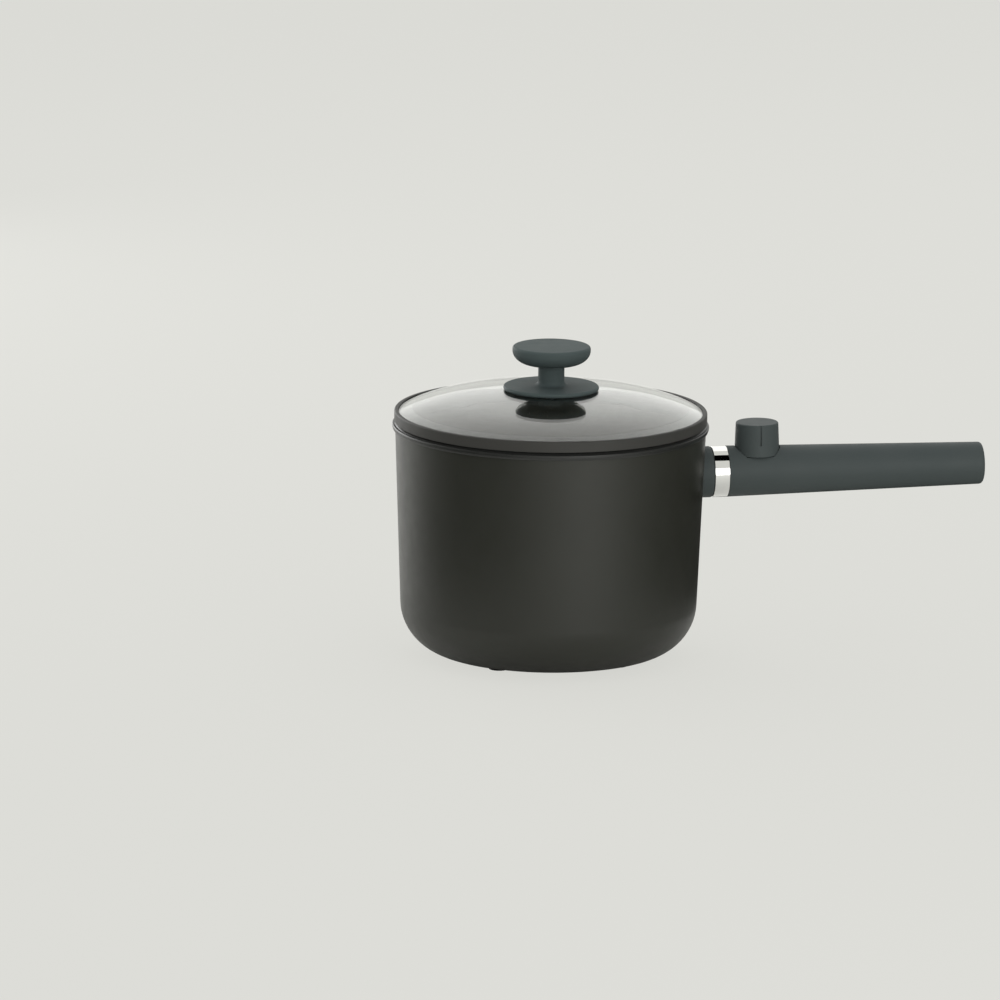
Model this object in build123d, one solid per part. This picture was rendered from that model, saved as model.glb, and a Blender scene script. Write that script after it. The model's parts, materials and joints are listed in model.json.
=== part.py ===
from build123d import *
import math
import os

# Small electric hot pot with a lift-off glass lid and one long handle.  All sizes in millimetres.
# Origin on the table under the middle of the pot, +Z up, +X along the handle.

# ---- housing and inner pot: radii are given at the height of the rim, and the walls narrow downwards
RIM_HEIGHT = 128.5              # table to the rim that the lid rests on
WALL_DRAFT = 0.0395             # radius lost for each millimetre down
HOUSING_RADIUS = 83.5
HOUSING_WALL = 2.4
HOUSING_CORNER = 28.0           # round between wall and bottom
FOOT_GAP = 2.0                  # table to the housing's bottom
AIR_GAP = 3.6                   # between housing and inner pot, where the leads run
POT_WALL = 2.0
POT_UNDERSIDE = 27.0
POT_CORNER = 18.0
RIM_OVERHANG = 1.5              # housing out to the rolled bead at its widest
RIM_THICKNESS = 1.5             # of the flat land that the lid rests on
RIM_SHOULDER = 3.8              # bead's widest in to the edge of the land
RIM_DROP = 1.9                  # land down to the top of the bead
RIM_BEAD = 1.4                  # width of the bead, to the foot of the slope
RIM_ROUND = 0.6                 # bead's upper edge
RIM_WEB = 1.1                   # bead's top down to the housing's edge
RIM_FOLD = 0.6                  # the slope's underside starts this much further in than its top
RIM_LIP = 4.7                   # land down to the end of the lip that hangs over the housing
RIM_LIP_FIT = 0.1               # lip to housing
RIM_EDGE = 0.8                  # thickness of the lip's lower edge
RIM_BULGE = 0.1                 # how far the bead's side stands out from straight
RIM_LINE = 3.3                  # land down to the fine groove round the bead
RIM_LINE_WIDTH = 0.35
RIM_LINE_DEPTH = 0.3

# ---- feet and base cover
FOOT_RADIUS = 5.5
FOOT_CIRCLE = 45.7              # centre of the pot to each foot
FOOT_POCKET = 1.0               # how deep a foot sits in the housing's bottom
FOOT_ROUND = 0.8
OPENING_RADIUS = 35.3           # hole in the housing's bottom
COVER_STEP = 3.4                # how far the cover's flange laps the housing
COVER_FLANGE = 1.5
COVER_PLATE = 1.5
OPENING_RIB = 6.0               # width of the thick ring round the opening
OPENING_RIB_HEIGHT = 1.6
LOOSE_FIT = 0.2                 # between parts that drop together
POST_CIRCLE = 30.0              # centre of the pot to each post and base screw
POST_RADIUS = 4.0
POST_ANGLES = (60, 180, 300)
BOSS_RADIUS = 4.8
SCREW_FIT = 0.05                # screw to its thread or hole, on the radius
BASE_SCREW_RADIUS = 1.9
BASE_SCREW_HEAD = 3.2
BASE_SCREW_HEAD_HEIGHT = 2.0
BASE_SCREW_REACH = 10.0         # length in the post
BASE_HEAD_DEPTH = 4.0           # how deep the head's seat lies in the cover
BASE_RECESS = (0.9, 3.6, 2.0)   # one arm of the cross in a base screw's head

# ---- heater, under the inner pot
PLATE_RADIUS = 54.0
PLATE_THICKNESS = 5.0
NOTCH_START = 42.0              # the plate is cut away here for the element's pins
NOTCH_WIDTH = 30.0
ELEMENT_CIRCLE = 40.0
ELEMENT_RADIUS = 3.3
ELEMENT_SINK = 0.5              # how far the element's centre line lies below the plate
ELEMENT_GAP_ANGLE = 22.0        # half the open angle of the element's ring
ELEMENT_BEND = 7.0
BUSH_RADIUS = 2.8
BUSH_LENGTH = 6.0
PIN_RADIUS = 1.2
PIN_LENGTH = 7.0
TERMINAL_RADIUS = 2.0
TERMINAL_LENGTH = 5.0
SHIELD_HEIGHT = 10.0            # table to the underside of the heat shield
SHIELD_THICKNESS = 0.6
SHIELD_RADIUS = 56.0
SHIELD_RIM = 3.0
CAP_RADIUS = 8.3                # thermostat
CAP_HEIGHT = 3.0
THERMOSTAT_RADIUS = 7.2
THERMOSTAT_HEIGHT = 9.0
BLADE = (5.0, 3.0, 0.8)
BLADE_OFFSET = 3.0              # thermostat blades, either side of its middle
BLADE_RISE = 2.5                # thermostat's underside up to its blades
BRACKET = (18.0, 36.0, 0.8)
BRACKET_SCREW_OFFSET = 14.5
SMALL_SCREW_RADIUS = 1.4
SMALL_SCREW_HEAD = 2.7
SMALL_SCREW_HEAD_HEIGHT = 1.8
SMALL_SCREW_REACH = 3.0
FUSE_RADIUS = 2.2
FUSE_LENGTH = 11.0
FUSE_START = 20.0
FUSE_WIRE_RADIUS = 0.8
FUSE_WIRE_BEND = 1.6
EARTH_SCREW_X = 34.0
LUG_RADIUS = 3.2

# ---- handle: its own frame has x along the handle from the end of the ring, and z up
HANDLE_REACH = 12.4             # housing's radius out to the start of the grip
HANDLE_DROP = 30.1              # rim down to the handle's axis, at the start of the grip
HANDLE_TILT = 0.55              # degrees, tail up
HANDLE_LENGTH = 140.1
HANDLE_RADIUS = 13.75
TAIL_RADIUS = 11.3
TAIL_ROUND = 2.0
TAIL_WALL = 2.4
HANDLE_WALL = 2.2
PARTING = -1.5                  # height of the joint between the shells
SEAM_WIDTH = 0.25
SEAM_DEPTH = 0.8
RING_LENGTH = 8.1
RING_INSET = 0.05               # the ring is this much smaller than the grip
RING_CHAMFER = 0.25
SOCKET_ROUND = 1.2
SPIGOT_FIT = 0.45               # spigot to the inside of the grip
SPIGOT_LENGTH = 4.2             # past the ring, into the grip
SPIGOT_GROOVE = 1.5             # depth of the groove that the shells clamp
SPIGOT_LIP = 1.4
SLIDE_FIT = 0.1
LEAD_HOLE = 6.5                 # radius of the way through the socket and the housing
SOCKET_SCREW_CIRCLE = 9.3
SOCKET_SCREW_ANGLES = (90, 210, 330)
SOCKET_SCREW_RADIUS = 1.5
SOCKET_SCREW_HEAD = 2.4
SOCKET_SCREW_HEAD_HEIGHT = 1.4
SOCKET_SCREW_LENGTH = 6.6
SOCKET_PAD_EDGE = 0.2           # flat pad round each screw head, inside the housing
SHELL_SCREW_PLACES = (40.0, 75.0, 106.0)
PILLAR_RADIUS = 4.2
SHELL_BOSS_RADIUS = 3.2
SHELL_SCREW_RADIUS = 1.3
SHELL_SCREW_HEAD = 2.6
SHELL_SCREW_HEAD_HEIGHT = 1.8
SHELL_SCREW_REACH = 7.0
SHELL_HEAD_SEAT = 4.0           # parting line down to the screw heads' seats
SHELL_RECESS = (0.8, 3.0, 1.6)  # one arm of the cross in a shell screw's head

# ---- switch and control knob, on the handle
KNOB_X = 16.9
SEAT_SINK = 4.85                # top of the handle down to the floor of the knob's seat
SEAT_FLOOR = 1.8
SEAT_WALL = 1.8
KNOB_GAP = 0.35                 # knob to the seat's floor
KNOB_SEAT_FIT = 0.3             # knob to the seat's side
KNOB_BASE_RADIUS = 12.1
KNOB_TAPER = 0.65               # the knob is smaller at its top by this radius
KNOB_HEIGHT = 17.3
KNOB_WALL = 1.6
KNOB_ROOF = 2.0
KNOB_ROUND = 0.8
POINTER_WIDTH = 1.0
POINTER_LENGTH = 11.0
POINTER_DEPTH = 0.5
HUB_RADIUS = 5.0
HUB_START = 3.6                 # knob's base up to its hub
CLIP_RISE = 1.0                 # hub's lower end up to the clip
CLIP_THICKNESS = 0.6
CLIP_LENGTH = 4.0
SHAFT_RADIUS = 2.5
SHAFT_FLAT = 1.8                # shaft's axis to its flat
SHAFT_FIT = 0.05
HUB_FIT = 0.02
SWITCH_BODY = (16.0, 12.0, 11.0)
BUSHING_RADIUS = 3.5
BUSHING_RISE = 3.3              # above the seat's floor
NUT_RADIUS = 5.2
NUT_HEIGHT = 2.0
SHAFT_SINK = 9.0                # how far the shaft reaches into the switch body
SWITCH_BLADE = (0.8, 4.0, 4.5)
SWITCH_BLADE_OFFSET = 4.5

# ---- power inlet, in the handle's tail
INLET_RADIUS = 8.0
INLET_BORE = 6.6
INLET_DEPTH = 14.0
INLET_BACK = 2.5
INLET_COLLAR = 0.8              # how far the collar stands out behind the tail wall
INLET_COLLAR_LENGTH = 2.0
INLET_PIN_RADIUS = 1.2
INLET_PIN_RECESS = 6.5          # mouth to the pins' tips
INLET_PIN_TAIL = 4.0
INLET_PIN_CHAMFER = 0.4
INLET_PINS = {"live": (-2.7, -1.4), "neutral": (2.7, -1.4), "earth": (0.0, 2.7)}

# ---- leads
LEAD_RADIUS = 1.1
LEAD_BEND = 5.0
LEAD_PITCH = 3.2                # between leads side by side in the air gap
LEAD_STUB = 3.0                 # straight stretch where a lead leaves a pin
GAP_TURN = 32.0                 # the leads leave the air gap below this height
LEAD_SIDE = 5.6                 # leads beside the handle's screws
SWITCH_SIDE = 8.2               # leads beside the switch

# ---- lid
LID_INSET = 1.1                 # rolled rim's widest in to the ring's outside
LID_BEAD = 0.85                 # glass's upper edge up to the top of the ring's bead
BEAD_ROUND = 0.9
SIGHT_WIDTH = 2.3               # ring's outside in to the glass that shows
LID_DROP = 0.5                  # the ring's outer edge hangs this far below the land
LAND_INSET = 1.3                # ring's outside in to the land
SKIRT_FIT = 0.7                 # skirt to the pot's inside
SKIRT_THICKNESS = 1.4
SKIRT_DEPTH = 4.0               # how far the skirt drops into the pot
GLASS_INSET = 1.7               # ring's outside in to the glass's edge
GLASS_SEAT = 0.6                # rim up to the glass's lower edge
GLASS_THICKNESS = 3.6
GLASS_HOLE = 4.2
CROWN_RADIUS = 320.0            # the glass is nearly flat in the middle ...
CROWN_REACH = 52.0
SHOULDER_RADIUS = 125.0         # ... and rounder towards its edge
GRIP_RADIUS = 21.0              # head of the lid's knob
GRIP_HEIGHT = 10.0
GRIP_STAND = 13.0               # glass's apex up to the head
GRIP_FLAT = 11.0                # flat middle of the head's underside
GRIP_BOWL = 7.5                 # height of the head's rounded underside
GRIP_EDGE = 1.6
NECK_RADIUS = 7.05
NECK_ROUND = 2.6
GUARD_RADIUS = 25.66            # disc at the foot of the lid's knob
GUARD_HEIGHT = 1.4              # glass's apex up to the disc's top
GUARD_RISE = 0.5                # the disc's top rises by this towards the neck
GUARD_INSET = (1.5, 0.8)        # its edge is rounder below than above
GUARD_EDGE = 1.1                # glass's apex down to the disc's lower edge
GUARD_GAP = 0.1                 # disc to glass
GASKET_RADIUS = 8.0
GASKET_THICKNESS = 0.6
LOWER_GASKET_RADIUS = 9.5
WASHER_RADIUS = 9.0
WASHER_THICKNESS = 1.0
INSERT_RADIUS = 3.8
INSERT_LENGTH = 11.0
INSERT_RISE = 0.4               # upper gasket to the insert
LID_SCREW_RADIUS = 2.4
LID_SCREW_HEAD = 4.3
LID_SCREW_HEAD_HEIGHT = 2.4
LID_SCREW_REACH = 9.0
LID_SCREW_ROUND = 1.2
LID_SCREW_RECESS = (1.0, 4.4, 2.4)


def glass_drop(depth, radius):
    """Height of the glass's apex over a point at a radius, and at a depth under the glass's outside."""
    crown_angle = math.asin(CROWN_REACH / CROWN_RADIUS)
    if radius <= (CROWN_RADIUS - depth) * math.sin(crown_angle) + 1e-6:
        return CROWN_RADIUS - math.sqrt((CROWN_RADIUS - depth) ** 2 - radius ** 2)
    step = CROWN_RADIUS - SHOULDER_RADIUS
    across = radius - step * math.sin(crown_angle)
    return CROWN_RADIUS - step * math.cos(crown_angle) - math.sqrt((SHOULDER_RADIUS - depth) ** 2 - across ** 2)


# ---- heights and places that follow from the sizes above
COVER_TOP = FOOT_GAP + COVER_FLANGE + COVER_PLATE
PLATE_UNDERSIDE = POT_UNDERSIDE - PLATE_THICKNESS
ELEMENT_Z = PLATE_UNDERSIDE - ELEMENT_SINK
SHIELD_TOP = SHIELD_HEIGHT + SHIELD_THICKNESS
POT_RADIUS = HOUSING_RADIUS - HOUSING_WALL - AIR_GAP
RIM_RADIUS = HOUSING_RADIUS + RIM_OVERHANG
HOUSING_TOP = RIM_HEIGHT - RIM_DROP - RIM_WEB
HANDLE_X = HOUSING_RADIUS + HANDLE_REACH
HANDLE_Z = RIM_HEIGHT - HANDLE_DROP
HANDLE_PLACE = Pos(HANDLE_X, 0, HANDLE_Z) * Rot(0, -HANDLE_TILT, 0)
RING_START = -RING_LENGTH
RING_RADIUS = HANDLE_RADIUS - RING_INSET
SPIGOT_RADIUS = HANDLE_RADIUS - HANDLE_WALL - SPIGOT_FIT
SEAT_DEPTH = HANDLE_RADIUS - SEAT_SINK
SEAT_UNDERSIDE = SEAT_DEPTH - SEAT_FLOOR
KNOB_TOP_RADIUS = KNOB_BASE_RADIUS - KNOB_TAPER
KNOB_BASE = SEAT_DEPTH + KNOB_GAP
KNOB_TOP = KNOB_BASE + KNOB_HEIGHT
LID_RADIUS = RIM_RADIUS - LID_INSET
LID_LAND_RADIUS = LID_RADIUS - LAND_INSET
SIGHT_RADIUS = LID_RADIUS - SIGHT_WIDTH
SKIRT_RADIUS = POT_RADIUS - POT_WALL - SKIRT_FIT
GLASS_RADIUS = LID_RADIUS - GLASS_INSET
GLASS_APEX = RIM_HEIGHT + GLASS_SEAT + glass_drop(GLASS_THICKNESS, GLASS_RADIUS)
GLASS_UNDERSIDE = GLASS_APEX - GLASS_THICKNESS
LID_TOP = GLASS_APEX - glass_drop(0, GLASS_RADIUS) + LID_BEAD
GUARD_TOP = GLASS_APEX + GUARD_HEIGHT
GRIP_BOTTOM = GLASS_APEX + GRIP_STAND
GRIP_TOP = GRIP_BOTTOM + GRIP_HEIGHT


# ---- helpers ---------------------------------------------------------------------------------------
def post(radius, bottom, top, x=0, y=0):
    """Upright cylinder."""
    rod = Cylinder(radius, top - bottom, align=(Align.CENTER, Align.CENTER, Align.MIN))
    return Pos(x, y, bottom) * rod


def bar(radius, start, end, y=0, z=0):
    """Cylinder along X."""
    rod = Cylinder(radius, end - start, align=(Align.CENTER, Align.CENTER, Align.MIN))
    return Pos(start, y, z) * Rot(0, 90, 0) * rod


def tube(outer, inner, bottom, top, x=0, y=0):
    """Upright cylinder with a hole through it."""
    return post(outer, bottom, top, x, y) - post(inner, bottom - 1, top + 1, x, y)


def turned(*edges):
    """Solid turned about the pot's axis, from a closed outline of edges drawn as (radius, height)."""
    outline = Curve() + list(edges)
    return revolve(make_face(Plane.XZ * outline), Axis.Z)


def wall_radius(radius_at_rim, height):
    return radius_at_rim - (RIM_HEIGHT - height) * WALL_DRAFT


def tub(radius_at_rim, bottom, top, corner):
    """Filled bowl with a drafted wall and a rounded bottom."""
    low = (wall_radius(radius_at_rim, bottom), bottom)
    high = (wall_radius(radius_at_rim, top), top)
    wall = FilletPolyline((0, bottom), low, high, radius=corner)
    return turned(wall, Polyline(high, (0, top), (0, bottom)))


def on_circle(radius, angle):
    return radius * math.cos(math.radians(angle)), radius * math.sin(math.radians(angle))


def lead(points, radius=LEAD_RADIUS, bend=LEAD_BEND):
    """Round wire along straight runs joined by tangent arcs."""
    corners = [Vector(point) for point in points]
    radii = []
    for before, corner, after in zip(corners, corners[1:], corners[2:]):
        half_turn = math.radians((corner - before).get_angle(after - corner)) / 2
        shorter = min((corner - before).length, (after - corner).length)
        radii.append(min(bend, 0.45 * shorter / math.tan(half_turn)))
    path = FilletPolyline(*corners, radius=radii)
    section = Plane(origin=path @ 0, z_dir=path % 0) * Circle(radius)
    return sweep(section, path=path)


def down_the_gap(y, top, low):
    """Points down the middle of the air gap, on the handle's side, and in under the pot."""
    middle = POT_RADIUS + AIR_GAP / 2
    return [
        (wall_radius(middle, top), y, top),
        (wall_radius(middle, GAP_TURN), y, GAP_TURN),
        (wall_radius(middle, GAP_TURN) - (GAP_TURN - low) / 2, y, low),
    ]


def on_handle(x, y, z):
    """Point of the handle's own frame, in the pot's frame."""
    return (HANDLE_PLACE * Pos(x, y, z)).position


# ---- pot -------------------------------------------------------------------------------------------
def outer_housing():
    floor = FOOT_GAP + HOUSING_WALL
    inside_corner = HOUSING_CORNER - HOUSING_WALL
    shell = tub(HOUSING_RADIUS, FOOT_GAP, HOUSING_TOP, HOUSING_CORNER)
    shell -= tub(HOUSING_RADIUS - HOUSING_WALL, floor, HOUSING_TOP + 1, inside_corner)
    shell += tube(OPENING_RADIUS + OPENING_RIB, OPENING_RADIUS, floor, floor + OPENING_RIB_HEIGHT)
    shell -= post(OPENING_RADIUS, 0, COVER_TOP + 5)
    shell -= post(OPENING_RADIUS + COVER_STEP, 0, FOOT_GAP + COVER_FLANGE)
    for x, y in foot_places():
        shell -= post(FOOT_RADIUS + SLIDE_FIT, 0, FOOT_GAP + FOOT_POCKET, x, y)
    for y, z in socket_screw_places():
        seat = socket_screw_seat(y, z)
        shell += HANDLE_PLACE * bar(SOCKET_SCREW_HEAD + SOCKET_PAD_EDGE, seat, seat + HOUSING_WALL / 2, y, z)
        shell -= HANDLE_PLACE * bar(SOCKET_SCREW_RADIUS + SCREW_FIT, -30, RING_START, y, z)
    return shell - HANDLE_PLACE * bar(LEAD_HOLE, -30, RING_START)


def pot_rim():
    """Filled disc with the land under the lid, the slope outside it and the bead that hangs over the housing."""
    land_edge = RIM_RADIUS - RIM_SHOULDER
    bead_foot = RIM_RADIUS - RIM_BEAD
    bead_top = RIM_HEIGHT - RIM_DROP
    under_land = RIM_HEIGHT - RIM_THICKNESS
    fold_top = land_edge - RIM_FOLD
    fold_end = fold_top + (under_land - HOUSING_TOP) * (bead_foot - land_edge) / RIM_DROP
    lip_inside = HOUSING_RADIUS + RIM_LIP_FIT
    lip_bottom = RIM_HEIGHT - RIM_LIP
    round_start = (RIM_RADIUS - RIM_ROUND, bead_top)
    side_top = (RIM_RADIUS, bead_top - RIM_ROUND)
    side_end = (lip_inside + RIM_EDGE, lip_bottom)
    side_middle = ((side_top[0] + side_end[0]) / 2 + RIM_BULGE, (side_top[1] + side_end[1]) / 2)
    rim = turned(
        Polyline((0, RIM_HEIGHT), (land_edge, RIM_HEIGHT), (bead_foot, bead_top), round_start),
        RadiusArc(round_start, side_top, -RIM_ROUND),
        ThreePointArc(side_top, side_middle, side_end),
        Polyline(
            side_end,
            (lip_inside, lip_bottom),
            (lip_inside, HOUSING_TOP),
            (fold_end, HOUSING_TOP),
            (fold_top, under_land),
            (0, under_land),
            (0, RIM_HEIGHT),
        ),
    )
    line = RIM_HEIGHT - RIM_LINE
    groove_radius = RIM_RADIUS - RIM_LINE_DEPTH
    return rim - tube(RIM_RADIUS + 1, groove_radius, line - RIM_LINE_WIDTH / 2, line + RIM_LINE_WIDTH / 2)


def inner_pot():
    pot = tub(POT_RADIUS, POT_UNDERSIDE, RIM_HEIGHT - RIM_THICKNESS / 2, POT_CORNER) + pot_rim()
    return pot - tub(POT_RADIUS - POT_WALL, POT_UNDERSIDE + POT_WALL, RIM_HEIGHT + 1, POT_CORNER - POT_WALL)


def foot_places():
    return [on_circle(FOOT_CIRCLE, angle) for angle in (45, 135, 225, 315)]


def feet():
    pads = []
    for x, y in foot_places():
        pad = post(FOOT_RADIUS, 0, FOOT_GAP + FOOT_POCKET)
        pad = fillet(pad.edges().sort_by(Axis.Z)[0], FOOT_ROUND)
        pads.append(Pos(x, y, 0) * pad)
    return pads


def post_places():
    return [on_circle(POST_CIRCLE, angle) for angle in POST_ANGLES]


def base_cover():
    cover = post(OPENING_RADIUS + COVER_STEP - LOOSE_FIT, FOOT_GAP, FOOT_GAP + COVER_FLANGE)
    cover += post(OPENING_RADIUS - LOOSE_FIT, FOOT_GAP, COVER_TOP)
    for x, y in post_places():
        cover += post(BOSS_RADIUS, COVER_TOP - 1, SHIELD_HEIGHT, x, y)
        cover -= post(BASE_SCREW_HEAD + LOOSE_FIT, 0, FOOT_GAP + BASE_HEAD_DEPTH, x, y)
        cover -= post(BASE_SCREW_RADIUS + LOOSE_FIT, 0, SHIELD_HEIGHT + 1, x, y)
    return cover


def base_screws():
    seat = FOOT_GAP + BASE_HEAD_DEPTH
    screws = []
    for x, y in post_places():
        screw = post(BASE_SCREW_HEAD, seat - BASE_SCREW_HEAD_HEIGHT, seat)
        screw += post(BASE_SCREW_RADIUS, seat, SHIELD_TOP + BASE_SCREW_REACH)
        for angle in (0, 90):
            screw -= Pos(0, 0, seat - BASE_SCREW_HEAD_HEIGHT) * Rot(0, 0, angle) * Box(*BASE_RECESS)
        screws.append(Pos(x, y, 0) * screw)
    return screws


def pot_posts():
    bore_top = SHIELD_TOP + BASE_SCREW_REACH + 1
    posts = []
    for x, y in post_places():
        stud = post(POST_RADIUS, SHIELD_TOP, POT_UNDERSIDE, x, y)
        posts.append(stud - post(BASE_SCREW_RADIUS + SCREW_FIT, 0, bore_top, x, y))
    return posts


# ---- heater ----------------------------------------------------------------------------------------
def heating_element():
    """Ring of tube, open towards the handle, with both ends turned outwards."""
    section = Plane.XZ * Pos(ELEMENT_CIRCLE, ELEMENT_Z) * Circle(ELEMENT_RADIUS)
    ring = revolve(section, Axis.Z, revolution_arc=360 - 2 * ELEMENT_GAP_ANGLE)
    ring = Rot(0, 0, ELEMENT_GAP_ANGLE) * ring
    centre_x, centre_y = on_circle(ELEMENT_CIRCLE + ELEMENT_BEND, ELEMENT_GAP_ANGLE)
    bend_axis = Axis((centre_x, centre_y, 0), (0, 0, 1))
    end_section = Plane.YZ.offset(centre_x) * Pos(centre_y - ELEMENT_BEND, ELEMENT_Z)
    end_section = end_section * Circle(ELEMENT_RADIUS)
    bend = revolve(end_section, bend_axis, revolution_arc=-(90 - ELEMENT_GAP_ANGLE))
    return ring + bend + mirror(bend, Plane.XZ)


def pin_line():
    """Where the element's straight ends start, and how far they lie from the middle."""
    centre_x, centre_y = on_circle(ELEMENT_CIRCLE + ELEMENT_BEND, ELEMENT_GAP_ANGLE)
    return centre_x, centre_y - ELEMENT_BEND


def both_sides(start, end, radius, hole=0.0):
    """The same piece at both of the element's ends."""
    _, offset = pin_line()
    pieces = []
    for y in (-offset, offset):
        piece = bar(radius, start, end, y, ELEMENT_Z)
        if hole:
            piece -= bar(hole, start - 1, end + 1, y, ELEMENT_Z)
        pieces.append(piece)
    return pieces


def element_bushes():
    start, _ = pin_line()
    return both_sides(start, start + BUSH_LENGTH, BUSH_RADIUS)


def element_pins():
    start = pin_line()[0] + BUSH_LENGTH
    return both_sides(start, start + PIN_LENGTH, PIN_RADIUS)


def lead_terminals():
    start = terminal_end() - TERMINAL_LENGTH
    return both_sides(start, terminal_end(), TERMINAL_RADIUS, PIN_RADIUS)


def terminal_end():
    return pin_line()[0] + BUSH_LENGTH + PIN_LENGTH


def heater_plate():
    plate = post(PLATE_RADIUS, PLATE_UNDERSIDE, POT_UNDERSIDE)
    notch = Box(PLATE_RADIUS, NOTCH_WIDTH, 4 * PLATE_THICKNESS, align=(Align.MIN, Align.CENTER, Align.CENTER))
    plate -= Pos(NOTCH_START, 0, PLATE_UNDERSIDE) * notch
    plate -= heating_element()
    for x, y in post_places():
        plate -= post(POST_RADIUS + LOOSE_FIT, 0, POT_UNDERSIDE + 1, x, y)
    screw_top = PLATE_UNDERSIDE + SMALL_SCREW_REACH + LOOSE_FIT
    for x, y in small_screw_places():
        plate -= post(SMALL_SCREW_RADIUS + SCREW_FIT, 0, screw_top, x, y)
    return plate


def small_screw_places():
    return [(0, -BRACKET_SCREW_OFFSET), (0, BRACKET_SCREW_OFFSET), (EARTH_SCREW_X, 0)]


def thermostat():
    bottom = PLATE_UNDERSIDE - THERMOSTAT_HEIGHT
    shoulder = PLATE_UNDERSIDE - CAP_HEIGHT
    return post(CAP_RADIUS, shoulder, PLATE_UNDERSIDE) + post(THERMOSTAT_RADIUS, bottom, shoulder)


def blade_height():
    return PLATE_UNDERSIDE - THERMOSTAT_HEIGHT + BLADE_RISE


def thermostat_terminals():
    inner_end = math.sqrt(THERMOSTAT_RADIUS ** 2 - (BLADE_OFFSET - BLADE[1] / 2) ** 2)
    blades = []
    for y in (-BLADE_OFFSET, BLADE_OFFSET):
        blade = Box(*BLADE, align=(Align.MIN, Align.CENTER, Align.CENTER))
        blades.append(Pos(inner_end, y, blade_height()) * blade)
    return blades


def thermostat_bracket():
    """Strap under the thermostat's cap, with ends turned up to the plate."""
    width, length, thickness = BRACKET
    shoulder = PLATE_UNDERSIDE - CAP_HEIGHT
    strap = Pos(0, 0, shoulder) * Box(*BRACKET, align=(Align.CENTER, Align.CENTER, Align.MAX))
    rise = CAP_HEIGHT + thickness
    for side in (-1, 1):
        tab = Box(width, thickness, rise, align=(Align.CENTER, Align.CENTER, Align.MAX))
        strap += Pos(0, side * (length - thickness) / 2, PLATE_UNDERSIDE) * tab
        strap -= post(SMALL_SCREW_RADIUS + LOOSE_FIT, 0, PLATE_UNDERSIDE, 0, side * BRACKET_SCREW_OFFSET)
    return strap - post(THERMOSTAT_RADIUS + LOOSE_FIT, 0, shoulder)


def small_screw(x, y, seat):
    """Pan-head screw from below into the heater plate."""
    screw = post(SMALL_SCREW_HEAD, seat - SMALL_SCREW_HEAD_HEIGHT, seat)
    screw += post(SMALL_SCREW_RADIUS, seat, PLATE_UNDERSIDE + SMALL_SCREW_REACH)
    return Pos(x, y, 0) * screw


def bracket_screws():
    seat = PLATE_UNDERSIDE - CAP_HEIGHT - BRACKET[2]
    return [small_screw(x, y, seat) for x, y in small_screw_places()[:2]]


def earth_height():
    return PLATE_UNDERSIDE - LEAD_RADIUS - SLIDE_FIT


def lug_thickness():
    return 2 * (LEAD_RADIUS + SLIDE_FIT)


def earth_screw():
    return small_screw(EARTH_SCREW_X, 0, PLATE_UNDERSIDE - lug_thickness())


def earth_lug():
    bottom = PLATE_UNDERSIDE - lug_thickness()
    return tube(LUG_RADIUS, SMALL_SCREW_RADIUS + SCREW_FIT, bottom, PLATE_UNDERSIDE, EARTH_SCREW_X, 0)


def fuse_line():
    """Height and sideways place of the fuse: against the plate, in line with an element pin."""
    return -pin_line()[1], PLATE_UNDERSIDE - FUSE_RADIUS - SLIDE_FIT


def thermal_fuse():
    y, z = fuse_line()
    return bar(FUSE_RADIUS, FUSE_START, FUSE_START + FUSE_LENGTH, y, z)


def fuse_leads():
    """From a thermostat blade to the fuse, and from the fuse under the element to its pin."""
    y, z = fuse_line()
    blade_end = thermostat_terminals()[0].bounding_box().max.X
    under = ELEMENT_Z - ELEMENT_RADIUS - 2 * FUSE_WIRE_RADIUS
    fuse_end = FUSE_START + FUSE_LENGTH
    first = [
        (blade_end, -BLADE_OFFSET, blade_height()),
        (blade_end + 2.5, -BLADE_OFFSET, blade_height()),
        (FUSE_START - 3.0, y, z),
        (FUSE_START, y, z),
    ]
    pin_x = terminal_end() - TERMINAL_LENGTH / 2
    second = [
        (fuse_end, y, z),
        (fuse_end + 2.0, y, z),
        (fuse_end + 5.0, y, under),
        (pin_x, y, under),
        (pin_x, y, ELEMENT_Z - TERMINAL_RADIUS),
    ]
    return [lead(points, FUSE_WIRE_RADIUS, FUSE_WIRE_BEND) for points in (first, second)]


def heat_shield():
    shield = post(SHIELD_RADIUS, SHIELD_HEIGHT, SHIELD_TOP)
    shield += tube(SHIELD_RADIUS, SHIELD_RADIUS - SHIELD_THICKNESS, SHIELD_HEIGHT, SHIELD_TOP + SHIELD_RIM)
    for x, y in post_places():
        shield -= post(BASE_SCREW_RADIUS + LOOSE_FIT, 0, SHIELD_TOP + 1, x, y)
    return shield


# ---- handle, drawn in its own frame ----------------------------------------------------------------
def handle_bar(inset, start, end):
    """Tapered round bar, a given depth under the handle's surface."""
    taper = (HANDLE_RADIUS - TAIL_RADIUS) / HANDLE_LENGTH
    first = HANDLE_RADIUS - taper * start - inset
    last = HANDLE_RADIUS - taper * end - inset
    outline = Polyline((start, 0), (start, first), (end, last), (end, 0), close=True)
    return revolve(make_face(Plane.XZ * outline), Axis.X)


def end_edge(solid):
    return solid.edges().filter_by(GeomType.CIRCLE).sort_by(Axis.X)[-1]


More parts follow.
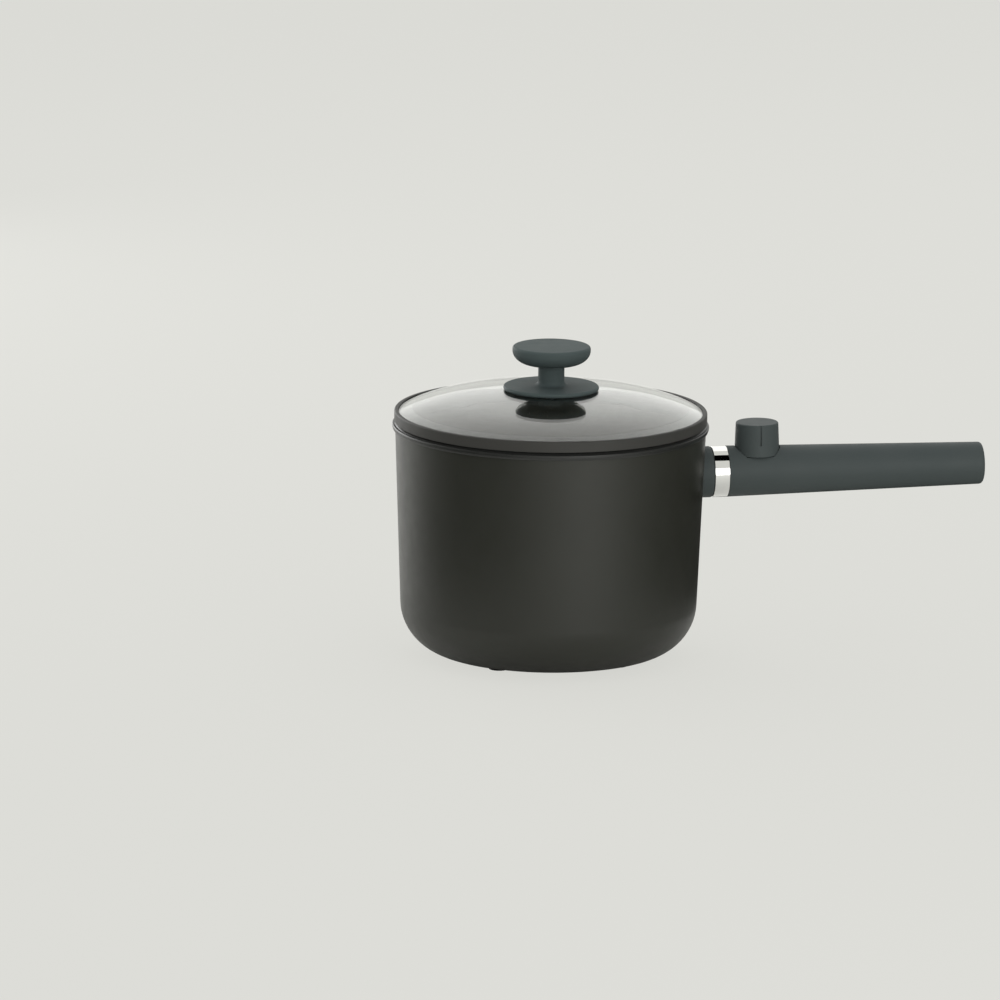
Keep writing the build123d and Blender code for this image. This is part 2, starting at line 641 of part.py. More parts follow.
def handle_socket():
    """Stub on the pot's wall, with the spigot that carries the ring and the grip."""
    stub = bar(HANDLE_RADIUS, -40, RING_START)
    stub = fillet(end_edge(stub), SOCKET_ROUND)
    stub = HANDLE_PLACE * stub - tub(HOUSING_RADIUS, FOOT_GAP, RIM_HEIGHT, HOUSING_CORNER)
    stub = HANDLE_PLACE.inverse() * stub
    spigot = bar(SPIGOT_RADIUS, RING_START - 1, SPIGOT_LENGTH)
    groove = bar(SPIGOT_RADIUS + 1, SPIGOT_LIP, SPIGOT_LENGTH - SPIGOT_LIP)
    spigot -= groove - bar(SPIGOT_RADIUS - SPIGOT_GROOVE, SPIGOT_LIP, SPIGOT_LENGTH - SPIGOT_LIP)
    socket = stub + spigot - bar(LEAD_HOLE, -40, SPIGOT_LENGTH + 1)
    for y, z in socket_screw_places():
        end = socket_screw_seat(y, z) + SOCKET_SCREW_LENGTH + LOOSE_FIT
        socket -= bar(SOCKET_SCREW_RADIUS + SCREW_FIT, -40, end, y, z)
    return HANDLE_PLACE * socket


def socket_screw_places():
    return [on_circle(SOCKET_SCREW_CIRCLE, angle) for angle in SOCKET_SCREW_ANGLES]


def socket_screw_seat(y, z):
    """Where a screw's head meets its pad inside the housing, in the handle's frame."""
    reach = SOCKET_SCREW_HEAD + SOCKET_PAD_EDGE
    inside = wall_radius(HOUSING_RADIUS - HOUSING_WALL, HANDLE_Z + z - reach)
    return math.sqrt(inside ** 2 - (abs(y) + reach) ** 2) - HANDLE_X - SLIDE_FIT


def socket_screws():
    screws = []
    for y, z in socket_screw_places():
        seat = socket_screw_seat(y, z)
        screw = bar(SOCKET_SCREW_HEAD, seat - SOCKET_SCREW_HEAD_HEIGHT, seat, y, z)
        screw += bar(SOCKET_SCREW_RADIUS, seat, seat + SOCKET_SCREW_LENGTH, y, z)
        screws.append(HANDLE_PLACE * screw)
    return screws


def handle_ring():
    ring = bar(RING_RADIUS, RING_START, 0)
    ring = chamfer(ring.edges().filter_by(GeomType.CIRCLE), RING_CHAMFER)
    return HANDLE_PLACE * (ring - bar(SPIGOT_RADIUS + SLIDE_FIT, RING_START - 1, 1))


def whole_shell():
    """Both shells in one, hollow, with the rib that clamps the spigot and the inlet's hole."""
    shell = handle_bar(0, 0, HANDLE_LENGTH)
    shell = fillet(end_edge(shell), TAIL_ROUND)
    shell -= handle_bar(HANDLE_WALL, -1, HANDLE_LENGTH - TAIL_WALL)
    rib_start = SPIGOT_LIP + SLIDE_FIT
    rib_end = SPIGOT_LENGTH - SPIGOT_LIP - SLIDE_FIT
    rib = handle_bar(HANDLE_WALL / 2, rib_start, rib_end)
    shell += rib - bar(SPIGOT_RADIUS - SPIGOT_GROOVE + SLIDE_FIT, 0, rib_end + 1)
    return shell - bar(INLET_RADIUS + SLIDE_FIT, HANDLE_LENGTH - 10, HANDLE_LENGTH + 1)


def handle_upper_shell():
    shell = split(whole_shell(), bisect_by=Plane.XY.offset(PARTING), keep=Keep.TOP)
    seat_radius = KNOB_BASE_RADIUS + KNOB_SEAT_FIT
    seat = post(seat_radius + SEAT_WALL, SEAT_UNDERSIDE, HANDLE_RADIUS, KNOB_X)
    shell += seat & handle_bar(HANDLE_WALL / 2, SPIGOT_LENGTH + SLIDE_FIT, HANDLE_LENGTH / 2)
    shell -= post(seat_radius, SEAT_DEPTH, 2 * HANDLE_RADIUS, KNOB_X)
    shell -= post(BUSHING_RADIUS + SLIDE_FIT, 0, HANDLE_RADIUS, KNOB_X)
    for x in SHELL_SCREW_PLACES:
        boss = post(SHELL_BOSS_RADIUS, PARTING, HANDLE_RADIUS, x) & handle_bar(HANDLE_WALL / 2, 0, HANDLE_LENGTH)
        shell += boss - post(SHELL_SCREW_RADIUS + SCREW_FIT, PARTING - 1, PARTING + SHELL_SCREW_REACH + 1, x)
    seam = handle_bar(-1, -1, HANDLE_LENGTH + 1) - handle_bar(SEAM_DEPTH, -2, HANDLE_LENGTH - SEAM_DEPTH)
    slab = Box(3 * HANDLE_LENGTH, 4 * HANDLE_RADIUS, SEAM_WIDTH, align=(Align.CENTER, Align.CENTER, Align.MIN))
    return HANDLE_PLACE * (shell - (seam & (Pos(0, 0, PARTING) * slab)))


def handle_lower_shell():
    shell = split(whole_shell(), bisect_by=Plane.XY.offset(PARTING), keep=Keep.BOTTOM)
    seat = PARTING - SHELL_HEAD_SEAT
    for x in SHELL_SCREW_PLACES:
        pillar = post(PILLAR_RADIUS, -HANDLE_RADIUS, PARTING, x)
        shell += pillar & handle_bar(HANDLE_WALL / 2, 0, HANDLE_LENGTH)
        shell -= post(SHELL_SCREW_HEAD + LOOSE_FIT, -2 * HANDLE_RADIUS, seat, x)
        shell -= post(SHELL_SCREW_RADIUS + LOOSE_FIT, -2 * HANDLE_RADIUS, PARTING + 1, x)
    return HANDLE_PLACE * shell


def handle_screws():
    seat = PARTING - SHELL_HEAD_SEAT
    screws = []
    for x in SHELL_SCREW_PLACES:
        screw = post(SHELL_SCREW_HEAD, seat - SHELL_SCREW_HEAD_HEIGHT, seat)
        screw += post(SHELL_SCREW_RADIUS, seat, PARTING + SHELL_SCREW_REACH)
        for angle in (0, 90):
            screw -= Pos(0, 0, seat - SHELL_SCREW_HEAD_HEIGHT) * Rot(0, 0, angle) * Box(*SHELL_RECESS)
        screws.append(HANDLE_PLACE * Pos(x, 0, 0) * screw)
    return screws


# ---- switch and control knob, drawn in the handle's frame ------------------------------------------
def shaft_bottom():
    return SEAT_UNDERSIDE - SHAFT_SINK


def rotary_switch():
    body = Pos(KNOB_X, 0, SEAT_UNDERSIDE) * Box(*SWITCH_BODY, align=(Align.CENTER, Align.CENTER, Align.MAX))
    body += post(BUSHING_RADIUS, SEAT_UNDERSIDE, SEAT_DEPTH + BUSHING_RISE, KNOB_X)
    body -= post(SHAFT_RADIUS + SHAFT_FIT, shaft_bottom() - KNOB_GAP, KNOB_TOP, KNOB_X)
    return HANDLE_PLACE * body


def switch_blade_middle():
    return SEAT_UNDERSIDE - SWITCH_BODY[2] - SWITCH_BLADE[2] / 2


def switch_terminals():
    blades = []
    for side in (-1, 1):
        place = Pos(KNOB_X + side * SWITCH_BLADE_OFFSET, 0, switch_blade_middle())
        blades.append(HANDLE_PLACE * place * Box(*SWITCH_BLADE))
    return blades


def switch_nut():
    nut = Pos(KNOB_X, 0, SEAT_DEPTH) * extrude(RegularPolygon(NUT_RADIUS, 6), NUT_HEIGHT)
    return HANDLE_PLACE * (nut - post(BUSHING_RADIUS + SCREW_FIT, 0, KNOB_TOP, KNOB_X))


def shaft_shape(fit, bottom, top):
    """The shaft's round with its flat, or the hub's matching hole."""
    round_bar = post(SHAFT_RADIUS + fit, bottom, top)
    flat = Box(4 * SHAFT_RADIUS, 4 * SHAFT_RADIUS, 4 * KNOB_TOP, align=(Align.CENTER, Align.MIN, Align.CENTER))
    return round_bar - Pos(0, SHAFT_FLAT + fit, 0) * flat


def switch_shaft():
    hub_bottom = KNOB_BASE + HUB_START
    shaft = post(SHAFT_RADIUS, shaft_bottom(), hub_bottom)
    shaft += shaft_shape(0, hub_bottom - 0.01, KNOB_TOP - KNOB_ROOF)
    return HANDLE_PLACE * Pos(KNOB_X, 0, 0) * shaft


def control_knob():
    """Hollow cap with a hub for the shaft and a pointer line down its side."""
    slope = (KNOB_BASE_RADIUS - KNOB_TOP_RADIUS) / KNOB_HEIGHT
    base = Plane.XY.offset(KNOB_BASE)
    cap = Solid.make_cone(KNOB_BASE_RADIUS, KNOB_TOP_RADIUS, KNOB_HEIGHT, plane=base)
    cap = fillet(cap.edges().filter_by(GeomType.CIRCLE).sort_by(Axis.Z)[-1], KNOB_ROUND)
    depth = KNOB_HEIGHT - KNOB_ROOF
    inside = KNOB_BASE_RADIUS - KNOB_WALL
    cap -= Solid.make_cone(inside, inside - slope * depth, depth, plane=base)
    roof = KNOB_TOP - KNOB_ROOF
    cap += post(HUB_RADIUS, KNOB_BASE + HUB_START, roof + 0.5)
    cap -= shaft_shape(HUB_FIT, KNOB_BASE, roof)
    line = Box(POINTER_WIDTH, 4.0, POINTER_LENGTH + 1, align=(Align.CENTER, Align.MAX, Align.MIN))
    pointer = Pos(0, -(KNOB_TOP_RADIUS - POINTER_DEPTH), KNOB_TOP - POINTER_LENGTH) * line
    return HANDLE_PLACE * Pos(KNOB_X, 0, 0) * (cap - pointer)


def hub_clip():
    bottom = KNOB_BASE + HUB_START + CLIP_RISE
    return HANDLE_PLACE * tube(HUB_RADIUS + CLIP_THICKNESS, HUB_RADIUS, bottom, bottom + CLIP_LENGTH, KNOB_X)


# ---- power inlet, drawn in the handle's frame ------------------------------------------------------
def power_inlet():
    back = HANDLE_LENGTH - INLET_DEPTH - INLET_BACK
    collar_end = HANDLE_LENGTH - TAIL_WALL
    body = bar(INLET_RADIUS, back, HANDLE_LENGTH)
    body += bar(INLET_RADIUS + INLET_COLLAR, collar_end - INLET_COLLAR_LENGTH, collar_end)
    body -= bar(INLET_BORE, HANDLE_LENGTH - INLET_DEPTH, HANDLE_LENGTH + 1)
    for y, z in INLET_PINS.values():
        body -= bar(INLET_PIN_RADIUS, back - 1, HANDLE_LENGTH, y, z)
    return HANDLE_PLACE * body


def inlet_pin_tail():
    return HANDLE_LENGTH - INLET_DEPTH - INLET_BACK - INLET_PIN_TAIL


def inlet_pins():
    pins = []
    for y, z in INLET_PINS.values():
        pin = bar(INLET_PIN_RADIUS, inlet_pin_tail(), HANDLE_LENGTH - INLET_PIN_RECESS, y, z)
        pins.append(HANDLE_PLACE * chamfer(end_edge(pin), INLET_PIN_CHAMFER))
    return pins


# ---- leads -----------------------------------------------------------------------------------------
def from_inlet(name, side, height):
    """First points of a lead: off its inlet pin, then beside the handle's screws."""
    y, z = INLET_PINS[name]
    start = inlet_pin_tail()
    return [
        on_handle(start, y, z),
        on_handle(start - LEAD_STUB, y, z),
        on_handle(start - 4 * LEAD_STUB, side * LEAD_SIDE, height),
        on_handle(SHELL_SCREW_PLACES[0] - 8.0, side * LEAD_SIDE, height),
    ]


def live_lead():
    blade_side = KNOB_X + SWITCH_BLADE_OFFSET + SWITCH_BLADE[0] / 2
    blade_z = switch_blade_middle()
    points = from_inlet("live", -1, 0.6)
    points += [on_handle(blade_side + 4.0, 0, blade_z), on_handle(blade_side, 0, blade_z)]
    return lead(points)


def past_switch(side, height):
    """Points beside the switch and into the socket's hole."""
    rear = KNOB_X + SWITCH_BODY[0] / 2
    front = KNOB_X - SWITCH_BODY[0] / 2
    return [
        on_handle(rear + 1.5, side * SWITCH_SIDE, height),
        on_handle(front + 0.7, side * SWITCH_SIDE, height),
    ]


def neutral_lead():
    pin_x, pin_y = terminal_end(), pin_line()[1]
    mouth = on_handle(3.0, LEAD_PITCH, 0)
    points = from_inlet("neutral", 1, 0.6) + past_switch(1, 0.3)
    points += [mouth, *down_the_gap(LEAD_PITCH, HANDLE_Z, ELEMENT_Z)]
    points += [(pin_x + LEAD_STUB, pin_y, ELEMENT_Z), (pin_x, pin_y, ELEMENT_Z)]
    return lead(points)


def earth_lead():
    height = earth_height()
    mouth = on_handle(3.0, -LEAD_PITCH, 1.6)
    points = from_inlet("earth", -1, 3.6) + past_switch(-1, 2.0)
    points += [mouth, *down_the_gap(0, HANDLE_Z + 1.5, height), (EARTH_SCREW_X + LUG_RADIUS, 0, height)]
    return lead(points)


def switched_lead():
    """From the switch, down the air gap and under the heater to the thermostat."""
    blade_side = KNOB_X - SWITCH_BLADE_OFFSET - SWITCH_BLADE[0] / 2
    blade_z = switch_blade_middle()
    blade_end = thermostat_terminals()[1].bounding_box().max.X
    low = blade_height()
    points = [
        on_handle(blade_side, 0, blade_z),
        on_handle(blade_side - 3.6, 0, blade_z),
        on_handle(2.6, -LEAD_PITCH, -2.6),
        *down_the_gap(-LEAD_PITCH, HANDLE_Z - 2.8, low),
        (blade_end + LEAD_STUB, BLADE_OFFSET, low),
        (blade_end, BLADE_OFFSET, low),
    ]
    return lead(points)


# ---- lid -------------------------------------------------------------------------------------------
def glass_point(depth, radius):
    """Point (radius, height) at a depth under the glass's outside."""
    return radius, GLASS_APEX - glass_drop(depth, radius)


def dome(depth, radius, bottom):
    """Filled dome under the glass's outside, from a given depth down."""
    crown_edge = (CROWN_RADIUS - depth) * CROWN_REACH / CROWN_RADIUS
    edge = glass_point(depth, radius)
    crown = ThreePointArc((0, GLASS_APEX - depth), glass_point(depth, crown_edge / 2), glass_point(depth, crown_edge))
    middle = glass_point(depth, (crown_edge + radius) / 2)
    shoulder = ThreePointArc(glass_point(depth, crown_edge), middle, edge)
    return turned(crown, shoulder, Polyline(edge, (radius, bottom), (0, bottom), (0, GLASS_APEX - depth)))


def glass_blank():
    """The glass without its hole."""
    return dome(0, GLASS_RADIUS, RIM_HEIGHT - 2) - dome(GLASS_THICKNESS, GLASS_RADIUS + 1, RIM_HEIGHT - 3)


def lid_glass():
    return glass_blank() - post(GLASS_HOLE, RIM_HEIGHT, GLASS_APEX + 1)


def lid_ring():
    """Rim that grips the glass's edge, rests on the pot and centres the lid with its skirt."""
    inside = SKIRT_RADIUS - SKIRT_THICKNESS
    in_glass = GLASS_THICKNESS / 2
    profile = turned(
        Polyline(
            (inside, RIM_HEIGHT - SKIRT_DEPTH),
            (SKIRT_RADIUS, RIM_HEIGHT - SKIRT_DEPTH),
            (SKIRT_RADIUS, RIM_HEIGHT),
            (LID_LAND_RADIUS, RIM_HEIGHT),
            (LID_LAND_RADIUS, RIM_HEIGHT - LID_DROP),
            (LID_RADIUS, RIM_HEIGHT - LID_DROP),
            (LID_RADIUS, LID_TOP - BEAD_ROUND),
        ),
        RadiusArc((LID_RADIUS, LID_TOP - BEAD_ROUND), (LID_RADIUS - BEAD_ROUND, LID_TOP), -BEAD_ROUND),
        Line((LID_RADIUS - BEAD_ROUND, LID_TOP), (SIGHT_RADIUS + BEAD_ROUND, LID_TOP)),
        RadiusArc((SIGHT_RADIUS + BEAD_ROUND, LID_TOP), (SIGHT_RADIUS, LID_TOP - BEAD_ROUND), -BEAD_ROUND),
        Polyline(
            (SIGHT_RADIUS, LID_TOP - BEAD_ROUND),
            glass_point(in_glass, SIGHT_RADIUS),
            glass_point(in_glass, inside),
            (inside, RIM_HEIGHT - SKIRT_DEPTH),
        ),
    )
    return profile - glass_blank()


def lid_knob():
    """Round head, neck and guard disc in one moulding, hollowed for its gasket and brass insert."""
    rim_low = (GUARD_RADIUS - GUARD_INSET[0], GLASS_APEX - GUARD_EDGE)
    rim_high = (GUARD_RADIUS - GUARD_INSET[1], GUARD_TOP)
    neck_low = (NECK_RADIUS + NECK_ROUND, GUARD_TOP + GUARD_RISE)
    neck_high = (NECK_RADIUS, GUARD_TOP + GUARD_RISE + NECK_ROUND)
    bowl = EllipticalCenterArc(
        center=(GRIP_FLAT, GRIP_BOTTOM + GRIP_BOWL),
        x_radius=GRIP_RADIUS - GRIP_FLAT,
        y_radius=GRIP_BOWL,
        start_angle=270,
        arc_size=90,
    )
    knob = turned(
        Polyline((0, rim_low[1]), rim_low),
        ThreePointArc(rim_low, (GUARD_RADIUS, (rim_low[1] + GUARD_TOP) / 2), rim_high),
        Line(rim_high, neck_low),
        RadiusArc(neck_low, neck_high, NECK_ROUND),
        Polyline(neck_high, (NECK_RADIUS, GRIP_BOTTOM), (GRIP_FLAT, GRIP_BOTTOM)),
        bowl,
        Line((GRIP_RADIUS, GRIP_BOTTOM + GRIP_BOWL), (GRIP_RADIUS, GRIP_TOP - GRIP_EDGE)),
        RadiusArc((GRIP_RADIUS, GRIP_TOP - GRIP_EDGE), (GRIP_RADIUS - GRIP_EDGE, GRIP_TOP), -GRIP_EDGE),
        Polyline((GRIP_RADIUS - GRIP_EDGE, GRIP_TOP), (0, GRIP_TOP), (0, rim_low[1])),
    )
    knob -= dome(-GUARD_GAP, GUARD_RADIUS + 5, RIM_HEIGHT)
    knob -= post(GASKET_RADIUS + LOOSE_FIT, RIM_HEIGHT, GLASS_APEX + GASKET_THICKNESS)
    return knob - post(INSERT_RADIUS, RIM_HEIGHT, insert_bottom() + INSERT_LENGTH)


def insert_bottom():
    return GLASS_APEX + GASKET_THICKNESS + INSERT_RISE


def knob_insert():
    bottom = insert_bottom()
    return tube(INSERT_RADIUS, LID_SCREW_RADIUS + SCREW_FIT, bottom, bottom + INSERT_LENGTH)


def knob_gaskets():
    hole = LID_SCREW_RADIUS + LOOSE_FIT
    upper = tube(GASKET_RADIUS, hole, GLASS_UNDERSIDE, GLASS_APEX + GASKET_THICKNESS) - glass_blank()
    upper = split(upper, bisect_by=Plane.XY.offset(GLASS_APEX - GLASS_THICKNESS / 2), keep=Keep.TOP)
    lower_bottom = GLASS_UNDERSIDE - GASKET_THICKNESS
    lower = tube(LOWER_GASKET_RADIUS, hole, lower_bottom, GLASS_APEX) - glass_blank()
    lower = split(lower, bisect_by=Plane.XY.offset(GLASS_APEX - GLASS_THICKNESS / 2), keep=Keep.BOTTOM)
    return [upper, lower]


def knob_washer():
    top = GLASS_UNDERSIDE - GASKET_THICKNESS
    return tube(WASHER_RADIUS, LID_SCREW_RADIUS + LOOSE_FIT, top - WASHER_THICKNESS, top)


def knob_screw():
    seat = GLASS_UNDERSIDE - GASKET_THICKNESS - WASHER_THICKNESS
    head = post(LID_SCREW_HEAD, seat - LID_SCREW_HEAD_HEIGHT, seat)
    head = fillet(head.edges().sort_by(Axis.Z)[0], LID_SCREW_ROUND)
    for angle in (0, 90):
        head -= Pos(0, 0, seat - LID_SCREW_HEAD_HEIGHT) * Rot(0, 0, angle) * Box(*LID_SCREW_RECESS)
    return head + post(LID_SCREW_RADIUS, seat, insert_bottom() + LID_SCREW_REACH)


# ---- write one file for each node ------------------------------------------------------------------
NODES = [
    outer_housing,
    inner_pot,
    feet,
    base_cover,
    base_screws,
    pot_posts,
    heater_plate,
    heating_element,
    element_bushes,
    element_pins,
    lead_terminals,
    thermostat,
    thermostat_terminals,
    thermostat_bracket,
    bracket_screws,
    earth_screw,
    earth_lug,
    thermal_fuse,
    fuse_leads,
    heat_shield,
    handle_socket,
    socket_screws,
    handle_ring,
    handle_upper_shell,
    handle_lower_shell,
    handle_screws,
    rotary_switch,
    switch_terminals,
    switch_nut,
    switch_shaft,
    control_knob,
    hub_clip,
    power_inlet,
    inlet_pins,
    live_lead,
    neutral_lead,
    earth_lead,
    switched_lead,
    lid_glass,
    lid_ring,
    lid_knob,
    knob_insert,
    knob_gaskets,
    knob_washer,
    knob_screw,
]

os.makedirs("parts", exist_ok=True)
for make in NODES:
    made = make()
    solids = made if isinstance(made, list) else [made]
    pieces = [solid for shape in solids for solid in shape.solids()]
    node = Compound(children=pieces) if len(pieces) > 1 else pieces[0]
    export_step(node, f"parts/{make.__name__}.step")
    print(f"{make.__name__}: {len(pieces)} solid(s), {sum(piece.volume for piece in pieces):.0f} mm3")
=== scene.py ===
# %% [markdown]
# # A small electric hot pot with a glass lid
# The real pot is a black moulded housing round a coated aluminium pot, with a domed glass lid that lifts off
# and one long handle that carries the switch.  This script builds all that the eye sees of it, piece by piece,
# round a finished mechanical model that stays as it is.

# %% Load the mechanical model and measure it
import json
import math

import bpy
from mathutils import Matrix, Vector


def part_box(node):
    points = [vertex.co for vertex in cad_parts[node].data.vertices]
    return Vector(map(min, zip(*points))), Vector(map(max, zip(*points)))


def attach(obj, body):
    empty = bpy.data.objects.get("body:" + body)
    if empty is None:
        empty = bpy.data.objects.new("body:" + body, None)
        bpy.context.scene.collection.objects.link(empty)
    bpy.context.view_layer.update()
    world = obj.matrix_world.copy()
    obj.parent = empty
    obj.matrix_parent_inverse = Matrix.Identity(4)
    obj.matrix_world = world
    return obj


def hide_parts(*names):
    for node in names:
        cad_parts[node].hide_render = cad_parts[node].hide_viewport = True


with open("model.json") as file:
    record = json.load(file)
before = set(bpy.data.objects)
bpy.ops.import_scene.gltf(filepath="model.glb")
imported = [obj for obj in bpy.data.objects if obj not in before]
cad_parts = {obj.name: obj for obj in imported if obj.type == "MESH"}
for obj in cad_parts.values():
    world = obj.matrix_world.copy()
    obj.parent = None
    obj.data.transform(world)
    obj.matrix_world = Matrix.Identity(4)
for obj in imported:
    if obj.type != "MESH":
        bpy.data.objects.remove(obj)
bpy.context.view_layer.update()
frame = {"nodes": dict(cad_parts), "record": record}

# %% [markdown]
# ## Sizes
# Every size below is in millimetres and is one that the maker would put on the drawing.  The heights and radii
# that the mechanical model already fixes are read from it, so that nothing has to be fitted later.

# %% Sizes that come from the mechanical model
MM = 0.001


def low(node):
    """Lowest corner of a node of the mechanical model, in millimetres."""
    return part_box(node)[0] / MM


def high(node):
    """Highest corner of a node of the mechanical model, in millimetres."""
    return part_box(node)[1] / MM


RIM_HEIGHT = high("inner_pot").z
RIM_RADIUS = high("inner_pot").y
FOOT_GAP = low("outer_housing").z
HOUSING_TOP = high("outer_housing").z
POT_UNDERSIDE = low("inner_pot").z
LID_RADIUS = high("lid_ring").y
LID_TOP = high("lid_ring").z
GRIP_TOP = high("lid_knob").z
GUARD_RADIUS = high("lid_knob").y
print(f"rim {RIM_HEIGHT:.1f} mm up, {2 * RIM_RADIUS:.1f} mm across; top of the lid's knob at {GRIP_TOP:.1f} mm")

# %% Sizes of the pot's walls
WALL_DRAFT = 0.0395          # radius lost for each millimetre down
HOUSING_RADIUS = 83.5        # at the height of the rim
HOUSING_WALL = 2.4
HOUSING_CORNER = 28.0
POT_RADIUS = 77.5
POT_WALL = 2.0
POT_CORNER = 18.0


def wall(radius, height):
    """Radius of a drafted wall at a height, from its radius at the rim."""
    return radius - (RIM_HEIGHT - height) * WALL_DRAFT


# %% [markdown]
# ## Turning a shape
# Nearly every piece here is round, so each one starts as a circle of points, as on a lathe.  The circle is
# pulled along an outline, one ring at a time, by extruding its edges and scaling the new ring.  An outline is
# a list of (radius, height), and a third number rounds that corner.  At the axis the ring is too small to see,
# and its points are merged into one, which closes the pole.

# %% Outlines with round corners
POLE = 0.001                 # radius of a ring that is merged to a point
JOIN = 0.004                 # points nearer than this are one point


def swept(centre, start, end, steps):
    """Points of the arc about a centre from one point to another, by the shorter way."""
    first, last = Vector(start) - centre, Vector(end) - centre
    return [centre + first.normalized().slerp(last.normalized(), step / steps) * first.length
            for step in range(steps + 1)]


def rounded(points, steps=6):
    """Outline points, with an arc at each point that has a third number."""
    made = []
    for place, point in enumerate(points):
        here = Vector(point[:2])
        if len(point) == 2:
            made.append(here)
            continue
        back = (Vector(points[place - 1][:2]) - here).normalized()
        onward = (Vector(points[(place + 1) % len(points)][:2]) - here).normalized()
        half = back.angle(onward) / 2
        centre = here + (back + onward).normalized() * point[2] / math.sin(half)
        reach = point[2] / math.tan(half)
        made += swept(centre, here + back * reach, here + onward * reach, steps)
    return made


def arc_through(start, middle, end, steps=8):
    """Points of the arc through three points."""
    a, b, c = Vector(start), Vector(middle), Vector(end)
    twice_area = 2 * (a.x * (b.y - c.y) + b.x * (c.y - a.y) + c.x * (a.y - b.y))
    squares = a.length_squared, b.length_squared, c.length_squared
    centre = Vector((
        squares[0] * (b.y - c.y) + squares[1] * (c.y - a.y) + squares[2] * (a.y - b.y),
        squares[0] * (c.x - b.x) + squares[1] * (a.x - c.x) + squares[2] * (b.x - a.x),
    )) / twice_area
    return swept(centre, a, b, steps) + swept(centre, b, c, steps)[1:]


# %% The lathe
SIDES = 160                  # points round the pot
SMOOTH_BELOW = math.radians(32)


def only(piece):
    """Selects one piece and makes it active."""
    bpy.ops.object.select_all(action="DESELECT")
    piece.select_set(True)
    bpy.context.view_layer.objects.active = piece


def turned(name, outline, sides=SIDES, closed=False):
    """A circle of points pulled up along an outline, ring by ring, into a closed shape."""
    bpy.ops.object.select_all(action="DESELECT")
    radius, height = outline[0]
    bpy.ops.mesh.primitive_circle_add(vertices=sides, radius=radius * MM, location=(0, 0, height * MM))
    piece = bpy.context.object
    piece.name = piece.data.name = name
    bpy.ops.object.transform_apply(location=True)
    bpy.ops.object.mode_set(mode="EDIT")
    bpy.ops.mesh.select_all(action="SELECT")
    for wide, up in [*outline[1:], *(outline[:1] if closed else [])]:
        bpy.ops.mesh.extrude_edges_move(TRANSFORM_OT_translate={"value": (0, 0, (up - height) * MM)})
        bpy.ops.transform.resize(value=(wide / radius, wide / radius, 1), center_override=(0, 0, up * MM))
        radius, height = wide, up
    bpy.ops.mesh.select_all(action="SELECT")
    bpy.ops.mesh.remove_doubles(threshold=JOIN * MM)
    bpy.ops.mesh.normals_make_consistent(inside=False)
    bpy.ops.object.mode_set(mode="OBJECT")
    return piece


# %% Cutting, joining and placing
def apply(piece, kind, **settings):
    """Adds a modifier with its settings and applies it."""
    only(piece)
    modifier = piece.modifiers.new(kind.title(), kind)
    for name, value in settings.items():
        setattr(modifier, name, value)
    bpy.ops.object.modifier_apply(modifier=modifier.name)


def carve(piece, tool, operation="DIFFERENCE"):
    """Cuts a tool out of a piece, adds it, or keeps what both share.  The tool is used up."""
    apply(piece, "BOOLEAN", object=tool, operation=operation, solver="EXACT")
    bpy.data.objects.remove(tool)


def put(piece, place):
    """Moves a piece and writes its new place into its mesh, so that the object itself stays at the origin."""
    only(piece)
    piece.matrix_world = place
    bpy.ops.object.transform_apply(location=True, rotation=True, scale=True)


def rod(radius, bottom, top, x=0.0, y=0.0, sides=48):
    """Upright round bar, used as a cutting tool or as a boss."""
    bar = turned("rod", [(POLE, bottom), (radius, bottom), (radius, top), (POLE, top)], sides)
    put(bar, Matrix.Translation((x * MM, y * MM, 0)))
    return bar


def halved(piece, height, keep_top):
    """Cuts a piece at a height, keeps one side and closes the cut."""
    only(piece)
    bpy.ops.object.mode_set(mode="EDIT")
    bpy.ops.mesh.select_all(action="SELECT")
    bpy.ops.mesh.bisect(
        plane_co=(0, 0, height * MM), plane_no=(0, 0, 1), use_fill=True, clear_inner=keep_top,
        clear_outer=not keep_top,
    )
    bpy.ops.object.mode_set(mode="OBJECT")


def finish(piece, body, node, material):
    """Smooths a piece, gives it its finish, ties it to what it moves with, and hides the node of the mechanical
    model that it replaces.
    """
    only(piece)
    piece.data.materials.clear()
    piece.data.materials.append(material)
    bpy.ops.object.shade_smooth_by_angle(angle=SMOOTH_BELOW)
    apply(piece, "WEIGHTED_NORMAL", keep_sharp=True, weight=60)
    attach(piece, body)
    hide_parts(node)
    print(f"{piece.name}: {len(piece.data.polygons)} faces, {piece.dimensions.x / MM:.1f} x "
          f"{piece.dimensions.y / MM:.1f} x {piece.dimensions.z / MM:.1f} mm")


# %% [markdown]
# ## Finishes
# One function adds a node to a material, sets its values and links its inputs.  Another turns a colour as it is
# written on a colour chart, in sRGB, into the linear numbers that the renderer counts in.

# %% Adding nodes and reading colours
def linear(code):
    """sRGB hex colour as linear red, green, blue and alpha."""
    parts = [int(code[place:place + 2], 16) / 255 for place in (1, 3, 5)]
    return [part / 12.92 if part <= 0.04045 else ((part + 0.055) / 1.055) ** 2.4 for part in parts] + [1.0]


def add(tree, kind, inputs=(), **settings):
    """Adds a node.  An input takes a number, a colour, or another node's output, which is linked."""
    made = tree.nodes.new(kind)
    for name, value in settings.items():
        setattr(made, name, value)
    for name, value in dict(inputs).items():
        if isinstance(value, bpy.types.NodeSocket):
            tree.links.new(value, made.inputs[name])
        else:
            made.inputs[name].default_value = value
    return made


def new_material(name):
    """An empty material, with its node tree and the object's own coordinates."""
    material = bpy.data.materials.new(name)
    material.use_nodes = True
    material.node_tree.nodes.clear()
    return material, material.node_tree, add(material.node_tree, "ShaderNodeTexCoord").outputs["Object"]


FIRST_COLOUR, SECOND_COLOUR, MIXED_COLOUR = 6, 7, 2   # places of the colour sockets on a mix node


def per_size(size):
    """Scale of a pattern in a texture node whose grains are to be this many millimetres across."""
    return 1 / (size * MM)


